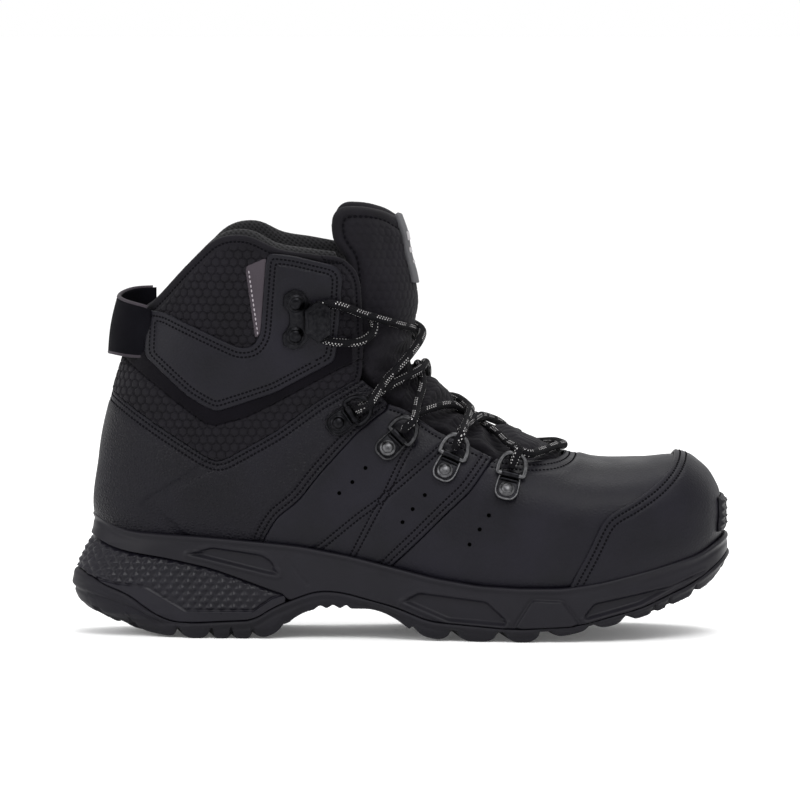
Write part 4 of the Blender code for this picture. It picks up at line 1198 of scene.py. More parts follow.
def make_rear_quarter():
    """Embossed leather round the heel, with a sunk chevron channel on each side."""
    seam = list(rounded(SEAM_REAR, 4, False))
    low = [p for p in margin(6.0) if p[0] < -66]
    top = list(rounded(QUARTER_TOP, 4, False))
    throat = [(-6.2, 107.4), (-5.6, 110.2), (-9.0, 114.2), (-17.2, 121)]
    outline = low + [p for p in seam if 40 < p[1] < 105.8] + throat
    outline += [p for p in top if p[0] < -20][::-1]
    piece = Piece(SKIN, area_field(X, Z, outline))
    seam_d = line_on(piece, seam)
    top_d = line_on(piece, top)
    thr_d = line_on(piece, [(-17.2, 124), (-17.2, 121), (-9.5, 113.6), (-6, 110)])
    height = rolled(piece.d, 0.55, 0.9)
    height += seam_dip(seam_d, SEAM) + seam_dip(top_d, (2.0, 4.4)) + seam_dip(thr_d, (2.2,))
    height -= 0.75 * ease((0.5 - area_field(piece.x, piece.z, CHANNEL)) / 1.2)
    height += 0.3 * (1 - np.exp(-piece.d / 9.0)) - 0.2
    add_rows(piece, seam_d, SEAM, height + PROUD)
    add_rows(piece, top_d, (2.0, 4.4), height + PROUD)
    item = shell("rear_quarter", piece, height, LEATHER_INNER)
    return dress(item, "embossed", "boot", "leather_embossed", "rear_quarter")


# Lower edge of the plain band that runs under the ankle overlay.
BAND = ((-132.775, 133.48), (-128.075, 129.72), (-109.745, 115.855), (-98.465, 107.16),
        (-90.475, 101.52), (-85.305, 100.58), (-71.205, 104.481), (-57.105, 111.39),
        (-30.785, 125.49), (-18.565, 131.13))


def make_collar_textile():
    """Honeycomb cloth round the ankle, with a plain band that starts at a step. The band's plain
    cloth is coloured darker: partly its own weave, partly painted shade under the ankle overlay.
    """
    bottom = list(rounded(QUARTER_TOP, 4, False))
    front = rounded(((-19.5, 119), (-17, 124), (-17, 150), (-18.0, 170), (-25.5, 178.2),
                     (-34, 179.6)), 7, False)
    collar = list(catmull(COLLAR, 6))
    outline = [p for p in bottom if p[0] < -20] + list(front) + collar[::-1][3:]
    outline += [(-160, 146), (-160, 127)]
    fine = Skin(ROWS, COLS * 2, *SHAFT_PART)
    piece = Piece(fine, area_field(fine.p[:, 0], fine.p[:, 2], outline))
    under = area_field(piece.x, piece.z, ANKLE)
    collar_d = line_on(piece, collar)
    front_d = line_on(piece, front)
    pads = hexes(side_run(piece.p), piece.z, 4.15)
    relief = 0.85 * ease(pads / 0.7)
    edge_fade = ease((collar_d - 4.5) / 1.5) * ease((front_d - 3.0) / 1.5)
    above_band = piece.z - along(BAND, piece.x)
    step = 0.55 * ease((above_band + 0.35) / 0.5) + 0.8 * np.clip(above_band / 8, 0, 1)
    step *= ease((14 - above_band) / 5) * (under > -2)
    step -= 0.8 * bump(above_band, -0.7, 0.7)
    plain = ease((above_band + 0.6) / 0.8) * ease((13 - above_band) / 1.5)
    height = rolled(piece.d, -0.35, 0.8) + relief * edge_fade * (1 - plain)
    height += step + seam_dip(collar_d, (3.2,), 0.4, 0.8) + seam_dip(front_d, (2.2,), 0.3)
    height += 0.5 * bump(collar_d, 1.2, 1.4)
    add_rows(piece, collar_d, (3.2,), height + PROUD)
    add_rows(piece, front_d, (2.2,), height + PROUD)
    item = shell("collar_textile", piece, height, -1.8)
    dress(item, "textile", "boot", "textile", "collar_textile")
    # The band gets the darker plain cloth: its own plain weave, darkened further as painted shade
    # under the overlay.
    item.data.materials.append(MATS["textile_plain"])
    centre = np.zeros(len(item.data.polygons) * 3)
    item.data.polygons.foreach_get("center", centre)
    centre = centre.reshape(-1, 3) / MM
    level = centre[:, 2] - along(BAND, centre[:, 0])
    in_band = (level > -0.9) & (level < 13) & (centre[:, 0] > BAND[0][0]) & (centre[:, 0] < -22)
    item.data.polygons.foreach_set("material_index", in_band.astype(np.int32))
    return item


def make_ankle_overlay(side):
    """Raised smooth leather round the hook, stitched twice along its edge."""
    outline = rounded(ANKLE, 3.0)
    piece = Piece(SKIN, one_side(area_field(X, Z, outline), side))
    height = rolled(piece.d, 1.85, 0.8)
    height += seam_dip(piece.d, (2.4, 4.5), 0.5, 1.0)
    height += 0.25 * (1 - np.exp(-piece.d / 8.0)) - 0.15
    add_rows(piece, piece.d, (2.4, 4.5), height + 0.02)
    item = shell(f"ankle_overlay_{SIDES[side]}", piece, height, ON_LEATHER)
    return dress(item, "leather", "boot", "leather_smooth", f"ankle_overlay_{SIDES[side]}")


ROWS_GREY = []


def make_accent(side):
    """Light wedge with one row of stitches, let into the ankle overlay."""
    outline = rounded(ACCENT, 2.2)
    piece = Piece(SKIN, one_side(area_field(X, Z, outline), side))
    height = rolled(piece.d, 0.95, 0.6)
    left = line_on(piece, [ACCENT[0], ACCENT[3]])
    add_rows(piece, left, (1.6,), height + 0.1, piece.d > 0.3, ROWS_GREY)
    item = shell(f"accent_{SIDES[side]}", piece, height, ON_LEATHER)
    return dress(item, "accent", "boot", "accent_leather", f"accent_{SIDES[side]}")


def make_toe_guard():
    """Raised leather cap over the toes."""
    back = list(rounded(GUARD_BACK, 5, False))
    low = [p for p in margin(3.0) if p[0] > 78][::-1]
    outline = back + [(165, 110)] + low
    piece = Piece(SKIN, area_field(X, Z, outline))
    back_d = line_on(piece, back)
    height = rolled(piece.d, 1.75, 1.1)
    height += seam_dip(back_d, (2.4, 5.0), 0.3)
    height += 0.5 * bump(back_d, 4.0, 6.0) * ease((piece.z - 76) / 8)
    add_rows(piece, back_d, (2.4, 5.0), height + PROUD)
    item = shell("toe_guard", piece, height, ON_LEATHER)
    return dress(item, "leather", "boot", "leather_smooth", "toe_guard")


SWELL_FRAMES = 20


def swell(make_rest, fine, most, pressure=4.0):
    """Swells a padded piece by Cloth under air pressure, on a coarse copy of it."""
    rough = make_rest()
    rest = np.zeros(len(rough.data.vertices) * 3)
    rough.data.vertices.foreach_get("co", rest)
    rest = rest.reshape(-1, 3)
    cloth = rough.modifiers.new("air", "CLOTH")
    cloth.settings.effector_weights.gravity = 0.0
    for name, value in (("use_pressure", True), ("uniform_pressure_force", pressure),
                        ("quality", 5), ("mass", 0.15), ("tension_stiffness", 12),
                        ("compression_stiffness", 12), ("bending_stiffness", 0.4)):
        setattr(cloth.settings, name, value)
    cloth.collision_settings.use_collision = False
    cloth.collision_settings.use_self_collision = False
    scene = bpy.context.scene
    for frame_number in range(1, SWELL_FRAMES + 1):
        scene.frame_set(frame_number)
    shaped = rough.evaluated_get(bpy.context.evaluated_depsgraph_get()).to_mesh()
    moved = np.zeros(rest.size)
    shaped.vertices.foreach_get("co", moved)
    shift = moved.reshape(-1, 3) - rest
    scene.frame_set(1)
    size = np.linalg.norm(shift, axis=1, keepdims=True)
    shift *= np.minimum(1.0, most * MM / np.maximum(size, 1e-9))
    bpy.data.objects.remove(rough)
    tree = KDTree(len(rest))
    for i, p in enumerate(rest):
        tree.insert(Vector(p), i)
    tree.balance()
    for vertex in fine.data.vertices:
        total, weight = np.zeros(3), 0.0
        for _, i, gap in tree.find_n(vertex.co, 5):
            w = 1.0 / (gap + 0.0004) ** 2
            total += shift[i] * w
            weight += w
        vertex.co += Vector(total / weight)


def tongue_bend(piece):
    """How the tongue curls: forward below its flex line and back above it."""
    curl = 2.6 * bump(piece.z, 150, 18) - 2.2 * bump(piece.z, 180, 16)
    return curl * ease((piece.x + 12) / 12)


def make_tongue():
    """Padded tongue: quilted honeycomb front, piped edge, free top."""
    outline = rounded([(-21, 150), (-22, 121), (-15, 108), (0, 99), (17, 89), (42, 76), (62, 74.5),
                       (86, 76), (96, 90), (60, 130), (25, 170), (16, 190), (11, 197.3),
                       (0, 202.2),
                       (-12, 203.2), (-24, 202.6), (-28.9, 198.5), (-29.8, 192), (-28.8, 186),
                       (-25.5, 180.5), (-22, 176), (-21, 165)], 4)
    middle = -9.3

    def thick(d):
        return 2.5 * pill(d, 4.0)

    piece = Piece(SKIN, area_field(X, Z, outline))
    d = piece.d
    half = thick(d)
    pads = hexes(piece.front, piece.z, 4.6)
    relief = 0.35 * ease(pads / 0.9) * ease((d - 6.5) / 1.5)
    edge = np.interp(piece.x, (-17, -10, 2, 18, 43.5, 62, 73, 79.5),
                     (122, 114, 107.5, 97, 85.5, 84.2, 84.6, 87))
    free = ease((piece.z - edge + 0.5) / 6.5) * (1 - ease((piece.z - 136) / 12))
    free = np.maximum(free, ease((piece.z - edge + 0.3) / 1.8) * ease((piece.x - 58) / 6))
    free *= 1 - ease((piece.x - 79) / 6)
    cords = KDTree(len(LACE_PATH))
    for number, spot in enumerate(LACE_PATH):
        cords.insert(Vector(spot), number)
    cords.balance()
    gaps = np.full(len(piece.p), 99.0)
    for i in np.flatnonzero(free > 0.01):
        gaps[i] = cords.find(Vector(piece.p[i] + piece.n[i] * -3.5))[2]
    room = np.maximum(ease((gaps - 2.6) / 8.5), ease((piece.x - 60) / 6))
    puff = (5.2 - 0.8 * ease((piece.x - 62) / 8)) * free * room
    folds = 0.5 * np.sin(piece.z * 0.55 + piece.x * 0.22) * free * ease((22 - gaps) / 10)
    puff += tongue_bend(piece)
    height = middle + half + relief + puff + folds
    height += 0.3 * bump(d, 2.2, 1.3) - 0.6 * bump(d, 5.2, 0.9)
    low = middle - half - 0.3 + puff * 0.6
    rows = []
    add_rows(piece, d, (5.2,), height + PROUD, piece.z > 120, rows)
    item = shell("tongue", piece, height, low)

    def rest():
        rough = Skin(150, 108)
        cut = Piece(rough, area_field(rough.p[:, 0], rough.p[:, 2], outline))
        return shell("tongue_rest", cut, middle + thick(cut.d), middle - thick(cut.d) - 0.3)

    swell(rest, item, 1.6)
    item.data.materials.append(MATS["textile"])
    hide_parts("tongue_lower", "tongue_flap")
    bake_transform(item)
    stitches = stitch_rows("tongue_stitching", rows, "stitch", "lace_braid", None, 1.9, 2.8)
    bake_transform(stitches)
    return item


def make_label():
    """Woven label on the tongue, with plain bars in place of any lettering."""
    outline = rounded(((-8, 166), (25, 164), (25, 199.5), (-8, 199.5)), 1)
    field = np.maximum(area_field(X, Z, outline), np.abs(SKIN.front) - 14.5)
    field = np.where(X < -8, 50, field)
    piece = Piece(SKIN, field)
    bend = tongue_bend(piece)
    item = shell("tongue_label", piece, rolled(piece.d, -5.2, 0.4) + bend, -7.6 + bend)
    dress(item, "label", "tongue_top", "label_cloth", "tongue_label")
    for row, (low, high, wide) in enumerate(((186.5, 191.5, 9.5), (180.5, 183.0, 9.5),
                                             (175.0, 176.6, 7.0))):
        mark = np.maximum(np.maximum(low - Z, Z - high), np.abs(SKIN.front) - wide)
        mark = np.where(X < -8, 50, mark)
        part = Piece(SKIN, mark)
        bend = tongue_bend(part)
        bar = shell(f"tongue_label_bar_{row + 1}", part, rolled(part.d, -4.85, 0.3) + bend,
                    -5.6 + bend)
        dress(bar, "print", "tongue_top", "label_cloth")
    return item


# ---------------------------------------------------------------- sole
def sole_outline():
    """Closed plan line of the rim, found where the grown skin crosses the rim's height."""
    level = SKIN.p[:, 2] - (smooth_along(RIM_TOP, SKIN.p[:, 0]) - 1.5)

    near = np.abs(level) < 6
    whole = SimpleNamespace(p=SKIN.p, n=SKIN.n, t=SKIN.t[near[SKIN.t].any(axis=1)])
    rows = contour(whole, level, 0.0, np.full(len(SKIN.p), RIM + GAP))
    line = max(rows, key=lambda r: len(r[0]))[0]
    flat = np.vstack([line[:, :2], line[:1, :2]])
    run = run_along(flat)
    plan = sampled(np.linspace(0, run[-1], SOLE_STEPS + 1)[:-1], run, flat)
    for _ in range(30):
        plan = plan * 0.5 + (np.roll(plan, 1, axis=0) + np.roll(plan, -1, axis=0)) * 0.25
    return plan if plan_area(plan) > 0 else plan[::-1]


SOLE_STEPS = 900
PLAN = sole_outline()
PLAN_N = turned_out(PLAN)
PLAN_S = run_along(PLAN)
HEEL_END = float(PLAN[:, 0].min())
HEEL_SHAPE = ((4, -137.0), (8, -141.5), (11, -148.6), (15.8, -151.9), (20.5, -153.6),
              (25.2, -154.6), (30, -153.9), (34.6, -152.2), (39.3, -150.0), (44, -147.4),
              (50, -145.4), (56, -144.8))
HEEL_FLARE = tuple((z, HEEL_END - x - 1.0) for z, x in HEEL_SHAPE)
TOE_FLARE = ((14, -4.5), (20, -2.2), (28, -0.2), (36, 0.9), (44, 1.1), (52, 0.0))


def flare(x, z):
    """How far the sole stands out past the rim line, most at the heel and the toe."""
    heel = np.interp(z, *zip(*HEEL_FLARE)) * ease((-92 - x) / 52) ** 1.3
    toe = np.interp(z, *zip(*TOE_FLARE)) * ease((x - 110) / 38)
    return heel + toe


def trailing(x):
    """Where along the boot a wall point really stands once the heel flares."""
    return x - 9.0 * ease((-92 - x) / 52) ** 1.3


def slab(name, index, levels, top_fn, bottom_fn, step):
    """A closed sole slab: wall rings round a plan line, capped by fine height fields."""
    base, normal = PLAN[index], PLAN_N[index]
    rings = []
    for z, offset in levels:
        spot = base + normal * offset[:, None]
        rings.append(np.column_stack([spot, z]))
    count = len(base)
    points = [np.concatenate(rings)]
    faces = []
    a = np.arange(count)
    b = (a + 1) % count
    for k in range(len(levels) - 1):
        low, high = k * count, (k + 1) * count
        faces.append(np.stack([low + a, low + b, high + b], 1))
        faces.append(np.stack([low + a, high + b, high + a], 1))
    total = count * len(levels)
    for ring, fn, flip, first in ((rings[-1], top_fn, False, total - count),
                                  (rings[0], bottom_fn, True, 0)):
        cap_p, cap_f = cap(ring, fn, step)
        inner = np.arange(len(cap_p)) + total
        lookup = np.concatenate([np.arange(count) + first, inner])
        tri = lookup[cap_f]
        faces.append(tri[:, ::-1] if flip else tri)
        points.append(cap_p)
        total += len(cap_p)
    return new_mesh(name, np.concatenate(points), np.concatenate(faces))


def cap(ring, fn, step):
    """Triangles filling a ring, with inner points on an even grid."""
    x0, y0 = ring[:, 0].min(), ring[:, 1].min()
    x1, y1 = ring[:, 0].max(), ring[:, 1].max()
    gx, gy = np.meshgrid(np.arange(x0, x1, step), np.arange(y0, y1, step))
    gx = gx + (np.arange(gx.shape[0]) % 2)[:, None] * step * 0.5
    gx, gy = gx.ravel(), gy.ravel()
    field = area_field(gx, gy, ring[::3, :2])
    keep = field < -0.75 * step
    gx, gy = gx[keep], gy[keep]
    flat = [Vector((float(p[0]), float(p[1]))) for p in ring]
    count = len(flat)
    flat += [Vector((float(x), float(y))) for x, y in zip(gx, gy)]
    edges = [(i, (i + 1) % count) for i in range(count)]
    _, _, tris, orig, _, _ = delaunay_2d_cdt(flat, edges, [], 1, 1e-6)
    source = np.array([o[0] if o else -1 for o in orig])
    tri = np.array([t for t in tris if len(t) == 3])
    tri = source[tri]
    tri = tri[(tri >= 0).all(axis=1)]
    p = np.concatenate([ring[:, :2], np.stack([gx, gy], 1)])
    u, v = p[tri[:, 1]] - p[tri[:, 0]], p[tri[:, 2]] - p[tri[:, 0]]
    area = u[:, 0] * v[:, 1] - u[:, 1] * v[:, 0]
    tri = np.where((area > 0)[:, None], tri, tri[:, ::-1])
    return np.column_stack([gx, gy, fn(gx, gy)]), tri


def last_floor(x, y):
    """Height of the last's underside above each plan point."""
    out = np.full(len(x), 500.0)
    for i in range(len(x)):
        hit = TREE.ray_cast(Vector((float(x[i]), float(y[i]), -5.0)), Vector((0, 0, 1)))[0]
        if hit is not None:
            out[i] = hit.z
    return out


def wall_levels(low, high, count, x, shape, lip, foot):
    """Rings from the low line to the high line, shaped, with edges rounded by lip and foot."""
    made = []
    for k in range(count + 1):
        t = 0.5 - 0.5 * math.cos(math.pi * k / count)
        t = 0.35 * t + 0.65 * k / count
        z = low + (high - low) * t
        edge = np.where(z - low < high - z, foot, lip)
        near = np.minimum(z - low, high - z)
        soft = edge - np.sqrt(np.maximum(edge ** 2 - (edge - np.clip(near, 0, edge)) ** 2, 0))
        made.append((z, flare(x, z) + shape(x, z) - soft))
    return made


RECESS = [rounded(line, 1.5) for line in (
    ((-99.405, 39.48), (-87.655, 42.77), (-64.625, 39.48), (-59.925, 36.66), (-55.695, 29.61),
     (-60.865, 30.08)),
    ((1.175, 18.33), (9.165, 22.56), (40.655, 18.8), (50.525, 9.87), (49.585, 7.52),
     (22.795, 9.4)),
    ((85.305, 11.75), (90.475, 18.33), (126.195, 25.85), (142.175, 32.43), (112.095, 17.39),
     (86.715, 10.34)))]
RAISED = rounded(
    ((53.815, 7.05), (61.805, 19.74), (75.905, 19.27), (83.425, 8.93), (75.435, 5.64),
     (61.335, 5.17)), 1.5)
CREASE = ((-52.405, 38.54), (-48.645, 32.9), (-43.005, 25.85))
WEDGE = ((-154.865, 36.19), (-151.105, 33.37), (-144.995, 28.2), (-130.895, 24.91),
         (-117.735, 23.5), (-109.275, 18.33), (-99.875, 12.69), (-68.385, 12.69), (-59.455, 18.8),
         (-51.465, 21.62))
LUGS = ((-160, -146, 8), (-141.5, -125.2, 8), (-123.6, -102.5, 9), (-100.4, -86.7, 3),
        (-85.1, -77.1, 6), (-75.9, -67.3, 6), (-66.3, -51.5, 3), (6.5, 23.7, 3), (27, 44.8, 3),
        (49.1, 64.6, 3), (70.5, 87.0, 3), (91.2, 104.1, 3), (108.0, 118.8, 5), (120.0, 125.9, 8),
        (127.2, 140, 10), (141, 165, 12))
WAVE = ((-148.285, 23.5), (-144.525, 21.62), (-136.065, 18.8), (-126.665, 15.51),
        (-118.675, 11.045), (-111.625, 7.52), (-105.045, 7.05), (-98.465, 7.05))


def midsole_shape(x, z):
    """How far the midsole's wall stands out: recesses, raised plate, crease and lip."""
    out = 0.5 + 0.0 * x
    for line in RECESS:
        field = area_field(x, z, line)
        slope, level = np.polyfit(*np.array(line).T, 1)
        lower = ease((slope * x + level - z) / 1.0 + 0.5)
        out -= 1.8 * ease((-field + 0.2) / (1.0 + 1.3 * lower))
        out += (0.3 + 0.45 * lower) * bump(field, 0.7, 1.0)
    field = area_field(x, z, RAISED)
    out += 1.3 * ease((-field + 0.2) / 0.7) - 0.45 * bump(field, 0.6, 0.8)
    out -= 0.6 * bump(line_distance(x, z, CREASE), 0, 0.9)
    top = smooth_along(RIM_TOP, x)
    out += 0.55 * bump(z, top - 1.3, 1.1) - 0.3 * bump(z, top - 3.6, 1.2)
    return out


CUP_WALL = 3.0              # least height of the midsole's wall


def cup_underside(x):
    """Underside of the midsole: over the heel cushion at the back, over the outsole in front."""
    back = smooth_along(RIM_LOW, np.minimum(x, -52.0))
    front = smooth_along(TREAD_TOP, x) + GAP
    mix = ease((x + 55) / 5)
    return back * (1 - mix) + front * mix


def make_midsole():
    """Foam cup whose rim grips the upper all round."""
    x = PLAN[:, 0]
    top = smooth_along(RIM_TOP, x)
    low = np.minimum(cup_underside(x), top - CUP_WALL)
    levels = wall_levels(low, top, 44, x, midsole_shape, 1.1, 0.4)

    def top_fn(gx, gy):
        height = smooth_along(RIM_TOP, gx)
        floor = last_floor(gx, gy) - 0.4
        edge = -area_field(gx, gy, PLAN[::4])
        return np.where(edge < RIM - 0.5, height, np.minimum(height, floor))

    def bottom_fn(gx, gy):
        return np.minimum(cup_underside(gx), np.minimum(smooth_along(RIM_TOP, gx) - CUP_WALL,
                                                        last_floor(gx, gy) - 1.2))

    item = slab("midsole", np.arange(SOLE_STEPS), levels, top_fn, bottom_fn, 3.0)
    return dress(item, "midsole", "boot", "midsole_foam", "midsole")


def facets(run, z):
    """Small pyramids in offset rows."""
    u = run / 5.4 + z / 5.8
    v = run / 5.4 - z / 5.8
    tu = np.abs(np.mod(u, 1) - 0.5) * 2
    tv = np.abs(np.mod(v, 1) - 0.5) * 2
    return np.minimum(tu, tv)


def make_cushion():
    """Faceted wedge under the heel, on the part of the plan line behind the arch."""
    index = np.flatnonzero(PLAN[:, 0] < -52.6)
    start = np.flatnonzero(np.diff(index) > 1)
    if len(start):
        index = np.roll(index, -(start[0] + 1))
    x = PLAN[index, 0]
    run = np.mod(PLAN_S[index] - PLAN_S[index[0]], PLAN_S[-1])
    run = run - run[len(run) // 2]
    high = smooth_along(RIM_LOW, x) - GAP
    high = np.minimum(high, smooth_along(RIM_TOP, x) - 5)
    low = np.minimum(smooth_along(TREAD_TOP, trailing(x)) + GAP, high - 0.5)

    def shape(px, pz):
        over = pz - along(WEDGE, px)
        under = high - pz
        area = ease((over - 0.6) / 0.8) * ease((under - 0.8) / 1.2)
        depth = 1.7 * (1 - 0.5 * ease((px + 95) / 40))
        out = -0.9 + area * (0.5 + depth * (facets(run, pz) - 0.35))
        out += 0.9 * (1 - ease((over + 0.4) / 1.0)) - 0.35 * bump(over, 0.2, 0.5)
        return out - 0.5 * ease((1.2 - under) / 1.2)

    levels = wall_levels(low, high, 56, x, shape, 0.35, 0.35)
    def top_fn(gx, gy):
        return np.minimum(smooth_along(RIM_LOW, gx) - GAP, last_floor(gx, gy) - 1.6)

    def bottom_fn(gx, gy):
        return smooth_along(TREAD_TOP, gx) + GAP

    item = slab("heel_cushion", index, levels, top_fn, bottom_fn, 4.0)
    return dress(item, "cushion", "boot", "heel_cushion_rubber", "heel_cushion")


def lug_gap(x, y):
    """One in the grooves between lugs and nothing on the lugs."""
    lean = x - 0.16 * (np.abs(y) - 44)
    best = np.ones(np.shape(lean))
    for start, end, square in LUGS:
        t = np.abs(lean - (start + end) / 2) / ((end - start) / 2)
        best = np.minimum(best, 1 - np.sqrt(np.maximum(1 - np.minimum(t, 1.0) ** square, 0)))
    arch = ease((lean + 53) / 3) * ease((8 - lean) / 3)
    return best * (1 - arch), arch


def tread_floor(x, y):
    """Underside of the outsole: lugs between grooves, and fine teeth under the arch."""
    base = smooth_along(TREAD_LOW, x)
    depth = np.minimum(4.8, np.maximum(smooth_along(TREAD_TOP, x) - base - 1.3, 0.8))
    gap, arch = lug_gap(x, y)
    band = ease((2.0 - np.abs(np.abs(y) - 15 - 1.5 * np.sin(x * 0.3))) / 1.2) * (1 - arch)
    teeth = np.abs(np.mod(x / 6.2, 1) - 0.5) * 2 * 1.8 * ease((x + 42) / 3) * ease((-22 - x) / 3)
    return base + depth * np.maximum(gap, band * 0.8) + teeth


def make_outsole():
    """Rubber tread under the whole foot, wavy at the heel and cut into lugs below."""
    x, y = PLAN.T
    top = smooth_along(TREAD_TOP, trailing(x))
    top = np.minimum(top, smooth_along(RIM_TOP, x) - 4)
    low = np.minimum(tread_floor(x, y), top - 1.5)
    base = smooth_along(TREAD_LOW, x)

    def shape(px, pz):
        under = top - pz
        out = 0.9 - 1.5 * lug_gap(px, y)[0] * ease((base + 6 - pz) / 3)
        out -= 1.3 * ease((base + 4.2 - pz) / 3.6)
        swing = pz - along(WAVE, px)
        here = ease((px + 152) / 6) * ease((-97 - px) / 3)
        out += here * (0.55 * bump(swing, 1.1, 1.3) - 0.8 * bump(swing, -0.5, 1.1))
        out = out - 1.6 * ease((4.0 - under) / 4.0) ** 2 * ease((-100 - px) / 20)
        out += 0.5 * bump(under, 1.3, 1.0)
        out -= 0.35 * bump(under, 3.6, 1.0) * ease((px + 150) / 20)
        return out

    levels = wall_levels(low, top, 34, x, shape, 0.5, 0.5)
    def top_fn(gx, gy):
        return np.minimum(smooth_along(TREAD_TOP, gx), smooth_along(RIM_TOP, gx) - 4)

    item = slab("outsole", np.arange(SOLE_STEPS), levels, top_fn, tread_floor,
                1.6)
    return dress(item, "rubber", "boot", "sole_rubber", "outsole")


def make_toe_bumper():
    """Ridged rubber toe bumper standing over the toe guard."""
    half = 21.0 - 0.3 * np.maximum(Z - 52, 0)
    field = np.maximum(np.maximum(np.abs(Y) - half, 49.5 - Z), Z - (65.5 - 0.003 * Y ** 2))
    field = np.where(X < 120, 50, field)
    piece = Piece(SKIN, field)
    ridge = np.abs(np.mod((piece.z - 50) / 3.1, 1) - 0.5) * 2
    notch = ease((np.abs(np.mod(piece.p[:, 1] / 7.0, 1) - 0.5) - 0.38) / 0.06)
    pad = 1 - ease((np.hypot(piece.p[:, 1] / 5.0, (piece.z - 56) / 6.0) - 1.02) / 0.25)
    tread = 1.5 * ridge * (1 - 0.7 * notch) * (1 - pad) + 0.7 * pad
    height = rolled(piece.d, 3.2, 1.2) + tread * ease(piece.d / 2.5)
    item = shell("toe_bumper", piece, height, 2.1)
    return dress(item, "rubber", "boot", "sole_rubber", "toe_bumper")


# ---------------------------------------------------------------- inside
def make_lining():
    """Mesh lining whose padded collar rolls over the top of the leather."""
    collar = list(catmull(COLLAR, 6))
    lifted = [(x, z + 2.4) for x, z in collar]
    lifted = [(-160, 152.6)] + lifted[3:]
    front = [(-29.5, 181.0), (-26, 173), (-20, 167), (-18.6, 150), (-19, 122), (-30, 100),
             (-10, 84), (20, 66), (50, 58), (165, 58)]
    outline = [(-160, 40), (-120, 42), (-60, 38), (-10, 30), (40, 24), (100, 24), (165, 30)]
    outline = outline + front[::-1] + lifted[::-1]

    def cut_from(skin):
        """Cuts the lining, whose top edge stands higher on the inner side of the ankle."""
        x, y, z = skin.p.T
        hill = np.where(y > 0, 3.2, 1.0) * bump(x, -50, 32)
        return Piece(skin, area_field(x, z - hill * ease((z - 150) / 20), outline))

    def padding(cut):
        return ease((cut.z - 118) / 30) * ease((-30 - cut.x) / 14)

    piece = cut_from(SKIN)
    top_line = line_distance(piece.x, piece.z, lifted)
    rise = ease((16 - top_line) / 12)
    high = padding(piece)
    outer = -4.1 + 1.6 * rise
    inner = -6.1 - 2.6 * high
    mid, half = (outer + inner) / 2, (outer - inner) / 2
    dome = pill(piece.d, 4.2)
    channel = 0.9 * bump(np.abs(top_line - 19), 0, 1.2) * high
    item = shell("lining", piece, mid + half * dome, mid - half * dome + channel)

    def rest():
        cut = cut_from(Skin(170, 120))
        edge = pill(cut.d, 4.2)
        return shell("lining_rest", cut, -5.1 + edge, -5.1 - (1 + 2.6 * padding(cut)) * edge)

    swell(rest, item, 1.2)
    dress(item, "mesh", "boot", "mesh_lining", "lining", "ankle_foam")
    return item


def make_footbed():
    """Loose footbed lying on the floor of the last."""
    line = ((-150, 58), (-113, 54), (-75, 51), (-38, 46), (-4, 39), (27, 33), (57, 30), (84, 31.5),
            (109, 36), (150, 48))
    piece = Piece(SKIN, Z - along(line, X))
    height = -8.1 + 1.7 * pill(piece.d, 3)
    low = -8.1 - 1.7 * pill(piece.d, 3)
    low -= 0.5 * ease(hexes(piece.x, piece.p[:, 1], 7.0) / 0.8) * ease(piece.d / 4)
    item = shell("footbed", piece, height, low)
    dress(item, "footbed", "boot", "textile", "footbed")
    return item


# ---------------------------------------------------------------- heel loop
def make_heel_loop():
    """Webbing loop standing off the heel, with a light bound edge above and below."""
    hx, hz = LOOP_HINGE
    spot, _ = from_side(hx, hz, 1)
    half = spot.y + 1.7
    steps = 121
    path, tops, lows, rises = [], [], [], []
    for t in np.linspace(-1, 1, steps):
        a = t * math.pi / 2
        back = abs(math.cos(a)) ** 0.75
        wave = 0.8 * math.sin(3 * a)
        path.append((hx + 2.5 + (-134.6 - hx - 2.5) * back, half * math.sin(a)))
        rise = abs(math.cos(a)) ** 0.6
        rises.append(rise)
        tops.append(hz + 9.6 + 5.6 * rise + wave * (1 - rise)
                    + (7.0 * (1 - rise) + 2.4 * math.sin(a) if t > 0 else 0.0))
        lows.append(hz - 11.0 + 0.2 * rise - 0.6 * wave)
    path = np.array(path)
    run = np.gradient(path, axis=0)
    run /= np.linalg.norm(run, axis=1, keepdims=True)
    out = np.stack([-run[:, 1], run[:, 0]], 1)
    if out[steps // 2, 0] > 0:
        out = -out
    tops, lows, rises = np.array(tops), np.array(lows), np.array(rises)
    rows = 26
    thick = 1.7
    ring = []
    for k in range(rows + 1):
        share = k / rows
        ring.append((share, thick / 2))
    for k in range(rows, -1, -1):
        ring.append((k / rows, -thick / 2))
    points = []
    for share, side in ring:
        z = lows + (tops - lows) * share
        rib = 0.12 * np.sin(share * rows * math.pi) if side < 0 else 0.0
        bow = 0.9 * math.sin(math.pi * share)
        spot2 = path + out * (side + rib + bow)
        spot2[:, 0] += (share - 0.5) * 4.4 * rises
        points.append(np.column_stack([spot2, z]))
    count = len(ring)
    points = np.array(points)
    flat = points.transpose(1, 0, 2).reshape(-1, 3)
    faces = []
    for i in range(steps - 1):
        for k in range(count):
            m = (k + 1) % count
            faces.append((i * count + k, (i + 1) * count + k, (i + 1) * count + m, i * count + m))
    faces.append(tuple(range(count)))
    faces.append(tuple(range((steps - 1) * count, steps * count))[::-1])
    loop = new_mesh("heel_loop", flat, faces)
    fix_normals(loop)
    loop.data.materials.append(MATS["webbing"])
    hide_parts("heel_loop")
    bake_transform(loop)
    for name, heights in (("heel_loop_edge_upper", tops + 0.1),
                          ("heel_loop_edge_lower", lows - 0.1)):
        line = np.column_stack([path + out * 0.1, heights])
        line[:, 0] += (2.2 if heights[0] > hz else -2.2) * rises
        edge = tube(name, line[2:-2], 0.95, 8)
        edge.data.materials.append(MATS["piping"])
        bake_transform(edge)


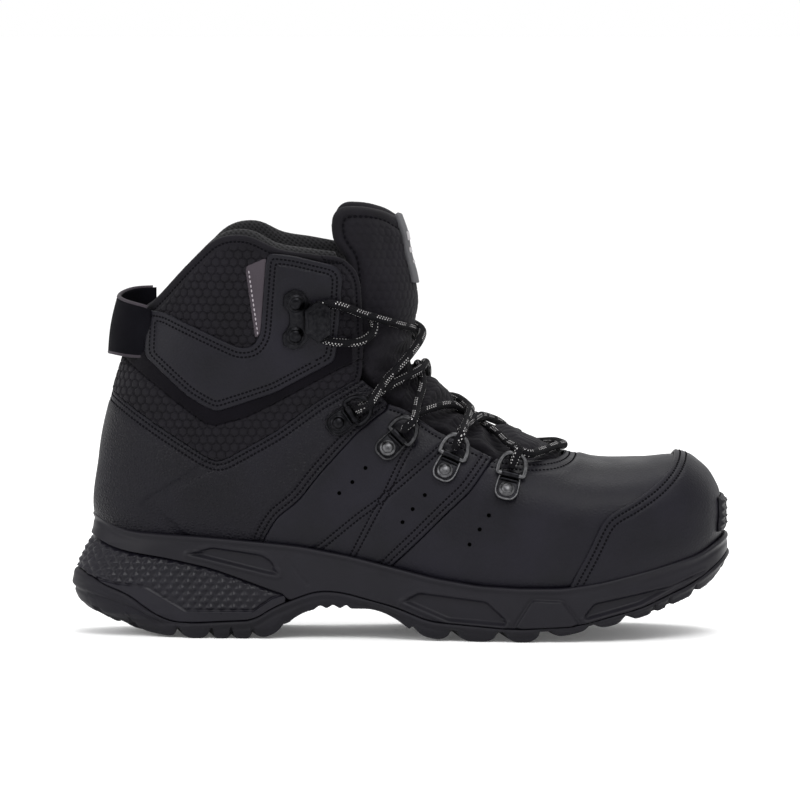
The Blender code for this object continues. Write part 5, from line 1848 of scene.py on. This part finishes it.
def fix_normals(item):
    """Turns all faces of an object outward."""
    mesh = bmesh.new()
    mesh.from_mesh(item.data)
    bmesh.ops.recalc_face_normals(mesh, faces=mesh.faces)
    mesh.to_mesh(item.data)
    mesh.free()


# ---------------------------------------------------------------- fittings
def wall_faces(rings, sides, start=0):
    """Quads between equal rings of points, with the first and the last ring filled in."""
    faces = []
    for low in range(start, start + (rings - 1) * sides, sides):
        for k in range(sides):
            m = (k + 1) % sides
            faces.append((low + k, low + m, low + sides + m, low + sides + k))
    last = start + (rings - 1) * sides
    faces.append(tuple(range(start, start + sides))[::-1])
    faces.append(tuple(range(last, last + sides)))
    return faces


def lathe(name, profile, made, centre, segments=28):
    """Turned part: profile of (radius, height) about a fitting's outward axis."""
    points = []
    for radius, height in profile:
        for k in range(segments):
            a = 2 * math.pi * k / segments
            points.append(made @ Vector((centre[0] + radius * math.cos(a),
                                         centre[1] + radius * math.sin(a), height)))
    item = new_mesh(name, points, wall_faces(len(profile), segments))
    fix_normals(item)
    return item


def plate(outline, low, high, bevel, made, corner=1.0):
    """Points and faces of a flat part with a bevelled rim."""
    line = rounded(outline, corner)
    out = turned_out(line)
    if plan_area(line) < 0:
        out = -out
    rings = [(0.0, low), (0.0, high - bevel), (-0.35 * bevel, high - 0.3 * bevel), (-bevel, high)]
    points = []
    for shift, height in rings:
        for p, o in zip(line, out):
            q = p + o * shift
            points.append(made @ Vector((q[0], q[1], height)))
    return points, wall_faces(len(rings), len(line))


def joined(name, *parts):
    """One object from several sets of points and faces."""
    points, faces = [], []
    for part_points, part_faces in parts:
        start = len(points)
        points += list(part_points)
        faces += [tuple(v + start for v in face) for face in part_faces]
    item = new_mesh(name, [tuple(p) for p in points], faces)
    fix_normals(item)
    return item


def flat_shaded(item, degrees=35):
    """Smooth only across edges flatter than the given angle."""
    mesh = bmesh.new()
    mesh.from_mesh(item.data)
    for edge in mesh.edges:
        edge.smooth = len(edge.link_faces) == 2 and edge.calc_face_angle(0) < math.radians(degrees)
    mesh.to_mesh(item.data)
    mesh.free()


RIVET = ((3.3, 1.45), (3.75, 1.6), (3.75, 1.95), (3.35, 2.2), (2.75, 2.25), (2.7, 2.7),
         (2.45, 3.15), (1.95, 3.5), (1.2, 3.75), (0.5, 3.83))


def make_clip(number, side):
    """One lace fitting: clip with rolled bars and rim, rivet and swinging ring. The rearmost
    fitting's rim, rivet and ring are near black, and the second fitting's rim and ring are darker
    than the front two: shaded copies of one metal, painted shade for how the light falls on each.
    """
    word = SIDES[side]
    made = fitting_frame(*RINGS[number], side)
    tab = [(-12.9, -1.9), (-11.9, -4.0), (-9.3, -5.4), (-4.5, -5.4), (0.3, -4.8), (0.3, 4.8),
           (-4.5, 5.4), (-9.3, 5.4), (-11.9, 4.0), (-12.9, 1.9)]
    # Painted shade: the fitting's number picks a darker copy of the same metal for its rim and
    # ring.
    painted_light_metal = ("black_metal", "gunmetal_dark", "gunmetal", "gunmetal")[number]
    clip = joined(f"ring_clip_{word}_{number + 1}", plate(tab, 0.45, 1.45, 0.35, made, 1.6))
    flat_shaded(clip)
    dress(clip, "black_metal", "boot", "gunmetal", f"ring_clip_{word}_{number + 1}")
    for n, (x, radius) in enumerate(((0.0, 1.75), (-2.6, 0.75))):
        spots = [made @ Vector((x, y, 2.5 if n == 0 else 1.7))
                 for y in np.linspace(-4.1, 4.1, 12)]
        roll = tube(f"ring_clip_{word}_{number + 1}_roll_{n + 1}", spots, radius, 14)
        roll.data.materials.append(MATS["black_metal"])
        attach(roll, "boot")
    rim = [made @ Vector((x + 0.45, y * 0.93, 1.5))
           for x, y in catmull(tab[4::-1] + tab[:4:-1], 4)]
    rim = tube(f"ring_clip_{word}_{number + 1}_rim", rim, 0.5, 8)
    dress(rim, painted_light_metal, "boot", "gunmetal")
    rivet = lathe(f"ring_rivet_{word}_{number + 1}", RIVET, made, (-7.5, 0.0))
    # The rearmost rivet is near black: painted shade.
    dress(rivet, "black_metal" if number == 0 else "gunmetal", "boot", "gunmetal",
          f"ring_rivet_{word}_{number + 1}")
    tilt = math.radians(RING_TILT)
    half = 5.4
    path = []
    for x, y in ((0, -half), (0, 0), (0, half), (1.5, half + 0.9), (RING_REACH * 0.5, half + 0.6),
                 (RING_REACH * 0.8, half - 0.7), (RING_REACH * 0.97, half - 2.9),
                 (RING_REACH, 0), (RING_REACH * 0.97, -half + 2.9),
                 (RING_REACH * 0.8, -half + 0.7), (RING_REACH * 0.5, -half - 0.6),
                 (1.5, -half - 0.9)):
        path.append((x * math.cos(tilt), y, 2.5 + x * math.sin(tilt)))
    fine = closed_curve(path, 8)
    spots = [made @ Vector(p) for p in fine]
    ring = tube(f"lace_ring_{word}_{number + 1}", spots, 1.08, 12, closed=True)
    fix_normals(ring)
    dress(ring, painted_light_metal, f"ring_{word}_{number + 1}", "gunmetal", f"lace_ring_{word}_{number + 1}")


def closed_curve(points, count):
    """Smooth closed curve through all the points."""
    pts = [np.array(p, float) for p in points]
    out = []
    size = len(pts)
    for i in range(size):
        out += spline_part(pts[i - 1], pts[i], pts[(i + 1) % size], pts[(i + 2) % size], count)
    return out


HOOK_RIVET = tuple((r * 1.14, h + 1.75) for r, h in RIVET)


def make_hook(side):
    """Lace hook: base plate with two rivets, post, and a six-sided tab on top."""
    word = SIDES[side]
    made = fitting_frame(*HOOK, 0.0, side)
    base = [(-10.7, -14.2), (-6.2, -12.8), (-3.4, -8.6), (2.6, -5.6), (2.6, 5.6), (-3.4, 8.8),
            (-5.8, 13.0), (-10.4, 14.4), (-14.9, 12.0), (-15.3, 7.0), (-12.8, 3.4), (-12.4, 1.5),
            (-12.4, -1.5), (-13.0, -3.4), (-15.8, -7.0), (-15.3, -11.8)]
    post = [(-1.2, -2.9), (1.7, -2.9), (1.7, 2.9), (-1.2, 2.9)]
    tab = [(-6.0, -5.4), (0.3, -10.0), (6.0, -6.0), (6.0, 6.0), (0.3, 10.0), (-6.0, 5.4)]
    inner = [(x * 0.72, y * 0.72) for x, y in tab]
    hook = joined(f"hook_{word}", plate(base, 2.2, 3.2, 0.4, made, 0.8),
                  plate(post, 2.6, 8.8, 0.2, made, 0.5),
                  plate(tab, 8.3, 9.6, 0.45, made, 0.8),
                  plate(inner, 9.4, 9.95, 0.25, made, 0.6))
    flat_shaded(hook)
    dress(hook, "black_metal", "boot", "black_metal", f"hook_{word}")
    for name, x, y in (("upper", -9.4, 7.9), ("lower", -9.8, -7.4)):
        sign = 1 if made.col[1].z > 0 else -1
        rivet = lathe(f"hook_rivet_{word}_{name}", HOOK_RIVET, made, (x, y * sign))
        dress(rivet, "black_metal", "boot", "black_metal", f"hook_rivet_{word}_{name}")


PUNCH = ((0.9, -0.6), (0.92, 0.16), (0.8, 0.26), (0.4, 0.2))
PUNCH_SIDES = 14


def make_punches():
    """Small breathing holes, drawn as near-black cups set into the leather, whose colour is
    painted shade for the inside of each hole.
    """
    points, faces = [], []
    for side in (-1, 1):
        for x, z in PUNCHES:
            made = fitting_frame(x, z, 0.0, side)
            lift = 0.85 if x < line_x_at(SEAM_VAMP, z) else 0.12
            start = len(points)
            for radius, height in PUNCH:
                for k in range(PUNCH_SIDES):
                    a = 2 * math.pi * k / PUNCH_SIDES
                    points.append(made @ Vector((radius * math.cos(a), radius * math.sin(a),
                                                 height + lift)))
            faces += wall_faces(len(PUNCH), PUNCH_SIDES, start)
    item = new_mesh("punched_holes", [tuple(p) for p in points], faces)
    fix_normals(item)
    dress(item, "dark", "boot", "leather_smooth")


def line_x_at(line, z):
    """Where along the boot a line stands at a height."""
    return float(along([(b, a) for a, b in line], z))


make_vamp()
make_rear_quarter()
make_collar_textile()
make_toe_guard()
for side in (-1, 1):
    make_side_panel(side)
    make_ankle_overlay(side)
    make_accent(side)
    make_hook(side)
    for number in range(4):
        make_clip(number, side)
make_tongue()
make_label()
make_lining()
make_footbed()
make_midsole()
make_cushion()
make_outsole()
make_toe_bumper()
make_heel_loop()
make_punches()
stitch_rows("seam_stitching", ROWS_BLACK, "stitch", "lace_braid")
stitch_rows("accent_stitching", ROWS_GREY, "stitch_grey", "accent_leather", "boot", 1.4, 2.2, 0.35,
            0.28)

INSIDE = {"steel_toe_cap": "steel", "heel_counter": "board", "insole_board": "board",
          "shank": "steel", "forefoot_filler": "foam"}

for still, socket, shine in (("dark", "Specular IOR Level", 0.0),
                             ("stitch", "Specular IOR Level", 0.06),
                             ("webbing", "Specular IOR Level", 0.04),
                             ("webbing", "Sheen Weight", 0.0),
                             ("textile_plain", "Specular IOR Level", 0.06)):
    MATS[still].node_tree.nodes["Principled BSDF"].inputs[socket].default_value = shine
for name, mat in INSIDE.items():
    for place_slot in bpy.data.objects[name].material_slots:
        place_slot.material = MATS[mat]
